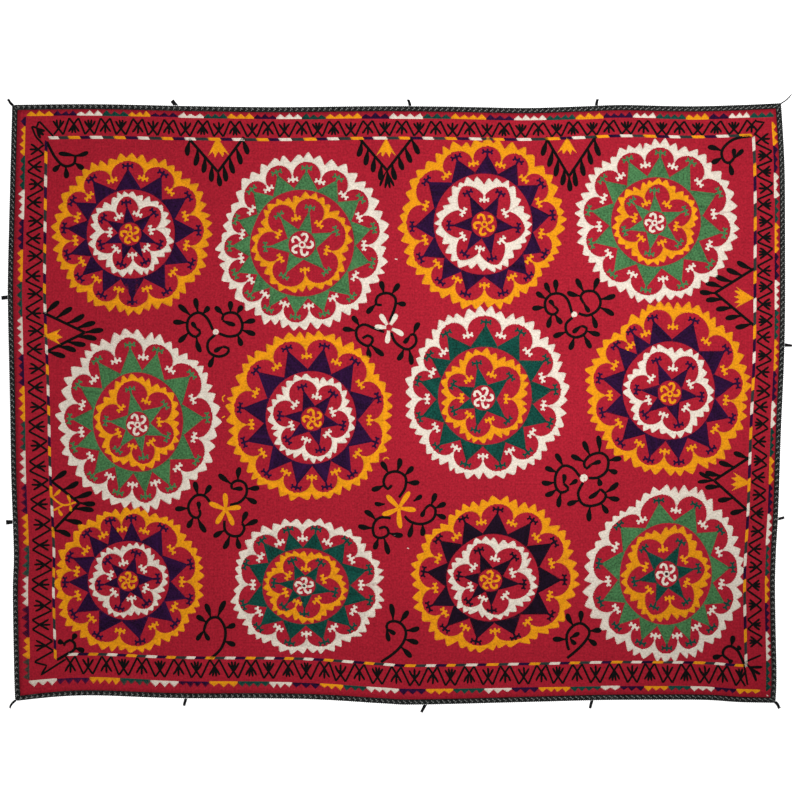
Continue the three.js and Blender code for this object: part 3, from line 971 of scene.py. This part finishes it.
black_sprays = rows_of("sprays", "black")
for stem in STEMS:
    stitch_stem(black_sprays, stem)
for loose in LOOSE_LEAVES:
    leaf(black_sprays, place(loose.root), place(loose.tip), LEAF_WIDTH * 0.85, 0.4)
for star in FLOWER_STARS:
    for tip in place(star.tips):
        middle = place(star.middle)
        leaf(rows_of("sprays", star.colour), middle + star.eye * (tip - middle), tip, PETAL_WIDTH, 0.62)
for knot in KNOTS:
    stitch_knot(rows_of("sprays", knot.colour), place(knot.middle), knot.width * MM)
for fleck in FLECKS:
    stroke(rows_of("sprays", fleck.colour), smooth_line(place(fleck.line), 4), FLECK_WIDTH)
print("stems in the sprays:", len(STEMS))

# %% [markdown]
# Seven V shapes grow inwards from the border, each with leaves hanging on its outer side and a golden tulip
# or twig between its arms. The leaves point the way that the V points and lean out more towards the arms' ends.

# %% V sprays and tulips
Vee = namedtuple("Vee", "apex arms count leans length tips")
VEES = [
    Vee((218, 172), [(188.5, 138), (244, 137)], 4, (14, 18), 12.5, [(220, 186)]),
    Vee((387, 170.5), [(360, 139), (413, 137)], 4, (14, 26), 12, [(380, 186), (385, 188),
        (390, 188), (394, 186)]),
    Vee((569, 176.5), [(545.5, 137), (596, 136)], 4, (14, 20), 13, [(570, 191)]),
    Vee((85, 332.5), [(43, 312.5), (45, 352.5)], 4, (44, 18), 14.5, [(103, 330)]),
    Vee((79.5, 503), [(50, 480), (52, 532)], 3, (30, 26), 14, [(95, 504)]),
    Vee((715, 293), [(755, 268), (754, 325.5)], 4, (22, 20), 13, [(700, 292)]),
    Vee((714, 480.5), [(750, 457), (748, 511)], 3, (18, 22), 11.5, [(699.5, 472.5), (698, 482)]),
]
Tulip = namedtuple("Tulip", "base left right prongs")
TULIPS = [
    Tulip((217, 137), (208, 156), (230, 156), 4), Tulip((386, 138), (376, 156), (396, 156), 4),
    Tulip((567, 137), (557, 153.5), (577, 153.5), 4), Tulip((43, 336), (61, 329), (61, 345), 3),
    Tulip((754, 298), (735, 308), (735, 286), 5), Tulip((751, 483), (731, 491), (733, 472), 4),
]
GOLD_TWIG = [
    Stem([(51, 496), (63, 505), (76, 502)], [], [(60, 490), (68, 495), (71, 511)]),
    Stem([(52, 511), (58, 508), (63, 505)], [], [(62, 515.5)]),
]
TWIG_WIDTH = 5.5 * MM
TWIG_LEAF_WIDTH = 9 * MM


def turned(vector, degrees):
    """A vector turned anticlockwise."""
    turn = np.radians(degrees)
    return np.array([vector[0] * np.cos(turn) - vector[1] * np.sin(turn),
                     vector[0] * np.sin(turn) + vector[1] * np.cos(turn)])


def stitch_vee(rows, vee):
    """Two arms that meet in a point, with leaves on their outer sides and one at the point."""
    apex = place(vee.apex)
    ends = place(vee.arms)
    axis = unit(apex - ends.mean(axis=0))
    length = vee.length * PIXEL
    for end, lean in zip(ends, vee.leans):
        stroke(rows, smooth_line([end, apex], 6), STEM_WIDTH)
        arm = end - apex
        outward = np.sign(axis[0] * arm[1] - axis[1] * arm[0])
        for share in np.linspace(0.06, 0.80, vee.count):
            way = turned(axis, outward * lean * (1 - 0.75 * share))
            root = end - share * arm
            leaf(rows, root, root + way * length * chance.uniform(1.24, 1.40), LEAF_WIDTH, 0.4)
    for tip in place(vee.tips):
        leaf(rows, apex, tip, LEAF_WIDTH / (1 + 0.3 * (len(vee.tips) - 1)), 0.4)


def stitch_tulip(rows, tulip):
    """A fan with a toothed end."""
    base, left, right = place([tulip.base, tulip.left, tulip.right])
    shares = np.linspace(0, 1, 2 * tulip.prongs - 1)
    fan = []
    for number, share in enumerate(shares):
        end = left + share * (right - left)
        reach = 1.0 + 0.08 * np.sin(np.pi * share) if number % 2 == 0 else 0.76
        fan.append(base + (end - base) * reach)
    fill_straight(rows, [base, *fan], (left + right) / 2 - base)


for vee in VEES:
    stitch_vee(black_sprays, vee)
for tulip in TULIPS:
    stitch_tulip(rows_of("sprays", "gold"), tulip)
for twig in GOLD_TWIG:
    stitch_stem(rows_of("sprays", "gold"), twig, TWIG_WIDTH, TWIG_LEAF_WIDTH)
print("V sprays:", len(VEES))

# %% [markdown]
# Three stripes run round the field. Outermost is a row of small teeth in changing colours. Then comes a black
# zigzag whose bends are paired points: the short legs of a pair cross and open into a bird's foot. Innermost
# is a narrow guard of slanted blocks. Each is drawn by distance along its side and depth in from the edge.

# %% Border places
# Depths in millimetres of the stripes' edges, from the teeth's tips to the inside of the guard. Each pair is
# the depth at the side's first end, which is its left or its top, and at its last.
Border = namedtuple("Border", "tips base zig zag guard inside")
BORDERS = {
    "top": Border((20, 23), (35, 39), (42, 46), (92, 87), (97, 87), (106, 95)),
    "bottom": Border((37, 25), (56, 38), (66, 48), (120, 106), (122, 106), (130, 113)),
    "left": Border((27, 28), (42, 48), (51, 59), (97, 120), (99, 123), (108, 130)),
    "right": Border((18, 18), (32, 31), (36, 42), (83, 84), (85, 88), (94, 96)),
}
TIPS, BASE, ZIG, ZAG, GUARD, INSIDE = range(6)
# The photo pixels at which those two depths hold, on a level side and on an upright one.
LEVEL_ENDS = (30, 765)
UPRIGHT_ENDS = (110, 690)
edge_lines = {name: side_line(name, 0) for name in SIDES}


def in_border(side, points):
    """Points on the cloth from rows of photo pixel along a side and level, where level 0 is the teeth's
    tips, 1 their base, and so on to 5, the inside of the guard."""
    pixel, level = np.asarray(points, float).T
    flat = SIDES[side].inward[0] == 0
    along = (pixel - ORIGIN_PIXEL[0]) * PIXEL if flat else (ORIGIN_PIXEL[1] - pixel) * PIXEL
    line = edge_lines[side]
    edge = np.interp(along, line[:, 0 if flat else 1], line[:, 1 if flat else 0])
    first, last = LEVEL_ENDS if flat else UPRIGHT_ENDS
    share = (pixel - first) / (last - first)
    ends = np.array(BORDERS[side])
    at_first, at_last = (np.interp(level, range(6), column) for column in ends.T)
    depth = at_first * (1 - share) + at_last * share
    across = edge + sum(SIDES[side].inward) * depth * MM
    return np.column_stack([along, across] if flat else [across, along])


# %% Teeth and guard stripes
# A stripe's blocks take its colours in turn. It passes a few photo pixels along its side, with this many
# blocks between each two, because the blocks grow and shrink along the way.
Stripe = namedtuple("Stripe", "side places counts colours")
TEETH = [
    Stripe("top", (27, 328, 579, 684, 774), (12, 8, 4, 4), ("gold", "plum", "cream", "teal")),
    Stripe("bottom", (29, 270, 368, 599, 690, 760), (8, 4, 8, 4, 3), ("cream", "plum", "gold", "teal")),
    Stripe("left", (117, 126), (1,), ("plum",)),
    Stripe("left", (126, 250, 389, 638, 680), (4, 4, 8, 2), ("gold", "teal", "cream", "plum")),
    Stripe("right", (122, 224, 691), (4, 16), ("gold", "plum", "cream", "teal")),
]
GUARDS = [
    Stripe("top", (48, 89, 516, 572, 751), (4, 36, 4, 15), ("cream", "grey", "gold", "plum")),
    Stripe("bottom", (67, 342, 744.5), (28, 39), ("cream", "plum", "gold", "grey")),
    Stripe("left", (140, 232, 658), (8, 42), ("plum", "gold", "grey", "cream")),
    Stripe("right", (136, 351), (16,), ("cream", "grey", "gold", "plum")),
    Stripe("right", (351, 666), (25,), ("cream", "plum", "gold", "grey")),
]
TOOTH_WIDTH = 8.2
TOOTH_FOOT = 0.72
TEETH_DEPTH = 16 * MM
GUARD_SLANT = 1.8
GUARD_DEPTH = 8.5 * MM


def blocks(stripe):
    """Start, end and colour of each block of a stripe. Their lengths vary a little, as by eye."""
    first = np.cumsum((0, *stripe.counts))
    ends = np.interp(np.arange(first[-1] + 1), first, stripe.places)
    ends[1:-1] += chance.normal(0, 0.05, first[-1] - 1) * np.diff(ends)[1:]
    for number, (a, b) in enumerate(zip(ends, ends[1:])):
        yield a, b, rows_of("borders", stripe.colours[number % len(stripe.colours)])


def fill_border(rows, side, outline, depth):
    """Fills an outline drawn in the border. depth is how deep one level is, in metres."""
    fill(rows, outline, lambda points: in_border(side, points), ROW_PITCH / depth, lambda level: PIXEL)


for stripe in TEETH:
    for a, b, rows in blocks(stripe):
        teeth = np.linspace(a, b, max(1, int(round((b - a) / TOOTH_WIDTH))) + 1)
        outline = [(a, BASE)]
        for first, last in zip(teeth, teeth[1:]):
            outline.append((first, TOOTH_FOOT))
            outline.append(((first + last) / 2 + chance.normal(0, 0.5), chance.normal(0, 0.10)))
        fill_border(rows, stripe.side, [*outline, (b, TOOTH_FOOT), (b, BASE)], TEETH_DEPTH)
for stripe in GUARDS:
    for a, b, rows in blocks(stripe):
        outline = [(a, GUARD), (b, GUARD), (b + GUARD_SLANT, INSIDE), (a + GUARD_SLANT, INSIDE)]
        fill_border(rows, stripe.side, outline, GUARD_DEPTH)
print("border blocks:", sum(sum(stripe.counts) for stripe in TEETH + GUARDS))

# %% The zigzag
# The bends of a side stand at first + step * k + growth * k * k photo pixels, for k at every half from 0.
Zigzag = namedtuple("Zigzag", "first step growth bends prongs")
ZIGZAGS = {
    "top": Zigzag(58, 31.6, 0.108, 42, (3, 4)), "bottom": Zigzag(70, 36.25, 0.0, 38, (3, 4)),
    "left": Zigzag(149, 35.3, 0.227, 27, (3, 3)), "right": Zigzag(140, 31.9, 0.185, 30, (3, 4)),
}
PRONG_SPREAD = 5.2
PRONG_WIDTH = 6.6 * MM
CORNER_PRONG_WIDTH = 9.0 * MM
ZIGZAG_LINE = 5.9 * MM
PAIR_HALF = 4.7
CORNER_LINES = [
    [(54, 137), (39, 121), (36.5, 128)], [(43, 144), (36, 137), (31.5, 126), (39, 129)],
    [(756, 121.5), (764, 122.5), (754, 135)], [(53.5, 651), (34, 662), (47, 665.5), (41, 675), (66, 659)],
    [(761, 655), (745, 662), (751, 669)], [(747.5, 685), (744.5, 668), (743, 660)],
]
Fan = namedtuple("Fan", "root tips")
CORNER_FANS = [
    Fan((37, 128.5), [(44.5, 131), (43.5, 135), (40.5, 138)]),
    Fan((749, 667), [(762, 667), (760, 674), (756, 681)]),
]


def stitch_zigzag(side):
    """Paired bends on alternate sides of the stripe, each with its bird's foot."""
    zigzag = ZIGZAGS[side]
    rows = rows_of("borders", "black")
    steps = np.arange(zigzag.bends) / 2
    centres = zigzag.first + zigzag.step * steps + zigzag.growth * steps**2
    centres += chance.normal(0, 0.5, len(centres))

    def at(number, share, off):
        near, far = (ZAG, ZIG) if number % 2 == 0 else (ZIG, ZAG)
        return in_border(side, [(centres[number] + off, near + share * (far - near))])[0]

    for number, centre in enumerate(centres):
        for way in (-1, 1):
            leg = [at(number, 0.0, -way * PAIR_HALF), at(number, 0.37, 0), at(number, 0.60, way * 2.4)]
            stroke(rows, smooth_line(leg, 3), ZIGZAG_LINE)
        prongs = chance.integers(*zigzag.prongs, endpoint=True)
        for lean in np.linspace(-1, 1, prongs):
            root = at(number, 0.38, lean * 0.6)
            tip = at(number, 0.90 - 0.08 * lean**2, lean * PRONG_SPREAD)
            leaf(rows, root, tip, PRONG_WIDTH, 0.75)
        if number + 1 < len(centres):
            rest = centres[number + 1] - centre
            stroke(rows, [at(number, 0.0, PAIR_HALF), at(number, 1.0, rest - PAIR_HALF)], ZIGZAG_LINE)


for side in SIDES:
    stitch_zigzag(side)
for line in CORNER_LINES:
    stroke(rows_of("borders", "black"), place(line), ZIGZAG_LINE)
for fan in CORNER_FANS:
    for tip in place(fan.tips):
        leaf(rows_of("borders", "black"), place(fan.root), tip, CORNER_PRONG_WIDTH, 0.7)
border_rows = [rows for (group, colour), rows in stitching.items() if group == "borders"]
print("rows in the borders:", sum(len(rows.middles) for rows in border_rows))

# %% [markdown]
# All rows are drawn, so each colour of each part becomes a mesh. Its rows start under the cloth's face and
# stand a thread's height above it.

# %% Needlework meshes


def needlework(group, colour, rows):
    """The rows of one colour, laid on the cloth."""
    face = face_height(np.concatenate(rows.middles))
    crest = face + ROW_HEIGHT * np.concatenate(rows.rises)
    return ridge_mesh(colour + "_" + group, rows, face - BURIED, crest, thread_finishes[colour])


needlework_pieces = [needlework(*key, rows) for key, rows in stitching.items()]
for piece in needlework_pieces:
    print(piece.name, sum(len(face.vertices) - 2 for face in piece.data.polygons), "triangles")

# %% [markdown]
# A flat plait is sewn round the edge. On the real cloth it is loops of charcoal and pale grey cotton drawn
# through each other, which lie as slanted grains in columns, slanting the other way in each next column.
# Every grain is a short fat ridge, and a low core fills the plait underneath and tucks under the cloth.

# %% Plaited edging
BRAID_THICKNESS = 3.4
BRAID_EDGE_THICKNESS = 1.8
CORE_WIDTH = 16.5
CORE_MIDDLE = 0.55
CORE_STEP = 30 * MM
CORE_RISE = 0.55
GRAIN_PITCH = 5.6 * MM
GRAIN_COLUMNS = 4
GRAIN_SHARES = np.array([0.0, 0.3, 0.7, 1.0])
GRAIN_WIDTHS = np.array([3.2, 4.4, 4.4, 3.2])
GRAIN_RISES = np.array([0.78, 1.0, 1.0, 0.78])
PALE_TONE = 0.62
DARK_TONE = 0.04


def plait(side):
    """One side's edging."""
    outer = side_line(side, 0.4)
    inner = side_line(side, BRAID_WIDTH)
    length = distances(outer)[-1]

    def on_braid(along, across):
        return at_shares(outer, along) * (1 - across[:, None]) + at_shares(inner, along) * across[:, None]

    rows = Rows()
    thickness = []
    core = np.linspace(0, 1, int(length / CORE_STEP))
    rows.add(on_braid(core, np.full(len(core), CORE_MIDDLE)), CORE_WIDTH * MM, 0.0, 1.0)
    thickness.append(np.full(len(core), CORE_RISE * BRAID_THICKNESS))
    count = int(length / GRAIN_PITCH)
    for column in range(GRAIN_COLUMNS):
        slant = 1 if column % 2 else -1
        across = (column + 0.5 + (GRAIN_SHARES - 0.5) * 1.15) / GRAIN_COLUMNS
        crown = BRAID_EDGE_THICKNESS + (BRAID_THICKNESS - BRAID_EDGE_THICKNESS) * bump(2 * across - 1)
        for number in range(count + 1):
            along = (number + slant * (GRAIN_SHARES - 0.5) * 0.9 + 0.25 * (column // 2)) / count
            pale = (number + column) % 3 == 0 and column in (1, 2)
            tone = (PALE_TONE if pale else DARK_TONE) + chance.normal(0, 0.03)
            line = on_braid(np.clip(along, 0, 1), across)
            rows.add(line, GRAIN_WIDTHS * MM, tone, 1.0)
            thickness.append(crown * GRAIN_RISES)
    lift = swell_height(np.concatenate(rows.middles))
    return ridge_mesh("plait_" + side, rows, lift, lift + np.concatenate(thickness) * MM, plait_finish)


plaits = {side: plait(side) for side in SIDES}
for piece in plaits.values():
    print(piece.name, sum(len(face.vertices) - 2 for face in piece.data.polygons), "triangles")

# %% [markdown]
# Short black tapes stick out from under the braid: once they tied or hung the cloth. Each is a strip folded
# back on itself, so the strip is laid out, round the fold and back, and then given its thickness.

# %% Black tape finish


def tape_finish():
    material, shade, shader = new_finish("black_tape", 0.9, 0.0)
    where = shade.node("ShaderNodeTexCoord", output=3)
    grain = noise(shade, where, (700, 700))
    scaled(shade, linear(26, 26, 28), 1.0 + 0.7 * grain).feed(shader, "Base Color")
    relief = shade.node("ShaderNodeBump", None, {"Strength": 0.6, "Distance": 0.3 * MM, "Height": grain})
    relief.feed(shader, "Normal")
    return material


black_tape = tape_finish()

# %% Folded tapes
TAPE_THICKNESS = 1.3
TAPE_FOLD_GAP = 0.4
Tape = namedtuple("Tape", "side at reach width tip_width hook")
TAPES = {
    "top_1": Tape("top", -660, (-12, 15), 12, 12, 0), "top_2": Tape("top", 42, (-1, 20), 9, 8, 5),
    "top_3": Tape("top", 601, (1, 20), 9, 8, -3), "left_1": Tape("left", 314, (-19, -2), 12, 12, 0),
    "left_2": Tape("left", -360, (-20, -1), 11, 14, 0), "right_1": Tape("right", 171, (23, -2), 11, 7, 0),
    "right_2": Tape("right", -351, (19, 4), 8, 8, 1), "bottom_1": Tape("bottom", -630, (-6, -22), 9, 8, 0),
    "bottom_2": Tape("bottom", 88, (-12, -23), 10, 8, 0), "bottom_3": Tape("bottom", 588, (-7, -24), 9, 8, 1),
}
TAPE_COLUMNS = 7


def edge_point(side, at):
    """The outer edge of the braid at a place along a side, in millimetres."""
    line = edge_lines[side] / MM
    flat = SIDES[side].inward[0] == 0
    edge = np.interp(at, line[:, 0 if flat else 1], line[:, 1 if flat else 0])
    return np.array([at, edge] if flat else [edge, at])


def folded_tape(name, tape):
    """A tape that runs out, turns over at its tip and comes back."""
    root = edge_point(tape.side, tape.at)
    outward = -np.array(SIDES[tape.side].inward)
    length = np.linalg.norm(tape.reach)
    way = np.array(tape.reach) / length
    side = np.array([-way[1], way[0]])
    radius = (TAPE_FOLD_GAP + TAPE_THICKNESS) / 2
    middle = TAPE_THICKNESS + TAPE_FOLD_GAP / 2
    straight = length - middle
    flat = np.linspace(0, 1, 7)
    bend = np.radians(np.linspace(-75, 75, 7))
    stations = [(share, 0.0, middle - radius) for share in flat]
    stations += [(1.0, radius * np.cos(angle), middle + radius * np.sin(angle)) for angle in bend]
    stations += [(share, 0.0, middle + radius) for share in flat[::-1]]
    points = []
    for share, past, height in stations:
        for edge in np.linspace(-0.5, 0.5, TAPE_COLUMNS):
            offset = edge * (tape.width + (tape.tip_width - tape.width) * share)
            cut = (2 * SEAM_GAP - side @ outward * offset) / (way @ outward)
            far = cut + (straight - cut) * share + past
            bowed = offset + tape.hook * (far / length) ** 2
            points.append([*(root + way * far + side * bowed), height])
    lift = swell_height([root * MM])[0]
    vertices = np.array(points) * MM + [0, 0, lift]
    piece = new_mesh("tape_" + name, vertices, grid_faces(len(stations), TAPE_COLUMNS), black_tape)
    apply_modifier(piece, "SOLIDIFY", thickness=(TAPE_THICKNESS - 0.1) * MM, offset=0.0)
    apply_modifier(piece, "BEVEL", width=0.3 * MM, segments=1, limit_method="ANGLE")
    piece.data.shade_smooth()
    return piece


tapes = {name: folded_tape(name, tape) for name, tape in TAPES.items()}
print("tapes:", len(tapes))

# %% [markdown]
# At each corner the ends of the braid's cords are twisted together and left loose. Each is a few strands that
# wind round one line, flattened where they lie, and part at the tip. The one at the top right is thin.

# %% Loose ends
TAIL_FLATNESS = 0.55
STRAND_SIDES = 6
Tail = namedtuple("Tail", "corner reach width bow strands")
TAILS = {
    "top_left": Tail("top_left", (-12, 17), 7, 1.5, 4),
    "top_right": Tail("top_right", (32, 27), 3.5, -2.5, 3),
    "bottom_left": Tail("bottom_left", (-16, -20), 6, -2.0, 4),
    "bottom_right": Tail("bottom_right", (10, -17), 8, 2.0, 5),
}


def tube(line, radii, sides):
    """Points and faces of a closed tube along a line of points in space."""
    way = unit(np.gradient(line, axis=0))
    side = unit(np.cross(way, [0, 0, 1.0]))
    up = np.cross(side, way)
    turn = np.linspace(0, 2 * np.pi, sides, endpoint=False)
    rings = (line[:, None] + radii[:, None, None] * (side[:, None] * np.cos(turn)[None, :, None]
                                                     + up[:, None] * np.sin(turn)[None, :, None]))
    faces = []
    for ring in range(len(line) - 1):
        for k in range(sides):
            a, b = ring * sides + k, ring * sides + (k + 1) % sides
            faces.append([a, a + sides, b + sides, b])
    faces.append(list(range(sides)))
    faces.append([(len(line) - 1) * sides + k for k in reversed(range(sides))])
    return rings.reshape(-1, 3), faces


def loose_end(name, tail):
    """Strands twisted together that start at a corner of the braid."""
    reach = np.array(tail.reach, float)
    way = unit(reach)
    start = np.array(CORNERS[tail.corner]) - way * 2.0
    share = np.linspace(0, 1, 16)
    core = (start + share[:, None] * (reach + way * 2.0)
            + np.sin(np.pi * share)[:, None] * tail.bow * np.array([-way[1], way[0]]))
    vertices = []
    faces = []
    for strand in range(tail.strands):
        turn = 2 * np.pi * (strand / tail.strands + 1.6 * share)
        spread = tail.width * (0.30 + 0.26 * np.clip(share - 0.72, 0, 1) / 0.28 * (strand % 3 - 0.6))
        off = spread * np.cos(turn)
        rise = tail.width / 2 + spread * np.sin(turn)
        line = np.column_stack([core + off[:, None] * np.array([-way[1], way[0]]), rise])
        radii = tail.width * 0.32 * (1 - 0.5 * share**2)
        points, strand_faces = tube(line, radii, STRAND_SIDES)
        faces += [[index + len(vertices) * len(points) for index in face] for face in strand_faces]
        vertices.append(points)
    vertices = np.vstack(vertices)
    vertices[:, 2] = np.maximum(vertices[:, 2], 0) * TAIL_FLATNESS
    piece = new_mesh("loose_end_" + name, vertices * MM, faces, black_tape)
    piece.data.shade_smooth()
    return piece


loose_ends = {name: loose_end(name, tail) for name, tail in TAILS.items()}
print("loose ends:", len(loose_ends))

# %% [markdown]
# The photograph is lit softly, a little brighter from the upper right, on a pure white ground. A large white
# floor, an even sky and one wide lamp give that. The camera looks straight down through a long lens, so the
# cloth keeps its true outline.

# %% Floor, light and camera
FRAME_WIDTH = 794 * PIXEL
CAMERA_HEIGHT = 8.0
SENSOR = 36.0
FRAME_CENTRE = place((397, 397))

bpy.ops.mesh.primitive_plane_add(size=60, location=(0, 0, -0.5 * MM))
floor = bpy.context.object
floor.name = "floor"
bpy.ops.object.transform_apply(location=True)
floor_white, _, floor_shader = new_finish("floor_white", 0.9, 0.0)
floor_shader.inputs["Base Color"].default_value = (0.9, 0.9, 0.9, 1)
floor_shader.inputs["Emission Color"].default_value = (1, 1, 1, 1)
floor_shader.inputs["Emission Strength"].default_value = 0.8
floor.data.materials.append(floor_white)
floor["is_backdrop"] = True

sky = bpy.data.worlds.new("studio")
sky.use_nodes = True
sky.node_tree.nodes["Background"].inputs["Color"].default_value = (1, 1, 1, 1)
sky.node_tree.nodes["Background"].inputs["Strength"].default_value = 0.452
bpy.context.scene.world = sky
bpy.context.scene.view_settings.view_transform = "Standard"

lamp = bpy.data.lights.new("window", "AREA")
lamp.energy = 31.0
lamp.size = 1.4
window = bpy.data.objects.new("window", lamp)
window.location = (0.74, 0.10, 1.79)
window.rotation_euler = (window.location - Vector((-1.1, 1.9, 0))).to_track_quat("Z", "Y").to_euler()
window.visible_camera = False
bpy.context.scene.collection.objects.link(window)

lens = bpy.data.cameras.new("camera")
lens.sensor_width = SENSOR
lens.lens = SENSOR * CAMERA_HEIGHT / FRAME_WIDTH
camera = bpy.data.objects.new("camera", lens)
camera.location = (*FRAME_CENTRE, CAMERA_HEIGHT)
bpy.context.scene.collection.objects.link(camera)
bpy.context.scene.camera = camera
print("lens, mm:", round(lens.lens, 1))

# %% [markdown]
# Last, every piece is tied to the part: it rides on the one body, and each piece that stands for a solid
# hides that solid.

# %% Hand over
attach(red_ground, "root")
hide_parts("ground_cloth")
for side, piece in plaits.items():
    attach(piece, "root")
    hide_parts("braid_" + side)
for name, piece in tapes.items():
    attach(piece, "root")
    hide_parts("tab_" + name)
for name, piece in loose_ends.items():
    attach(piece, "root")
    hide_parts("tail_" + name)
for piece in needlework_pieces:
    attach(piece, "root")

boxes = {"cad": cad_box, "visual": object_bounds()}
{name: [list(corner) for corner in box] for name, box in boxes.items()}
print("sizes:", {name: [round(x, 4) for x in box[1] - box[0]] for name, box in boxes.items()})
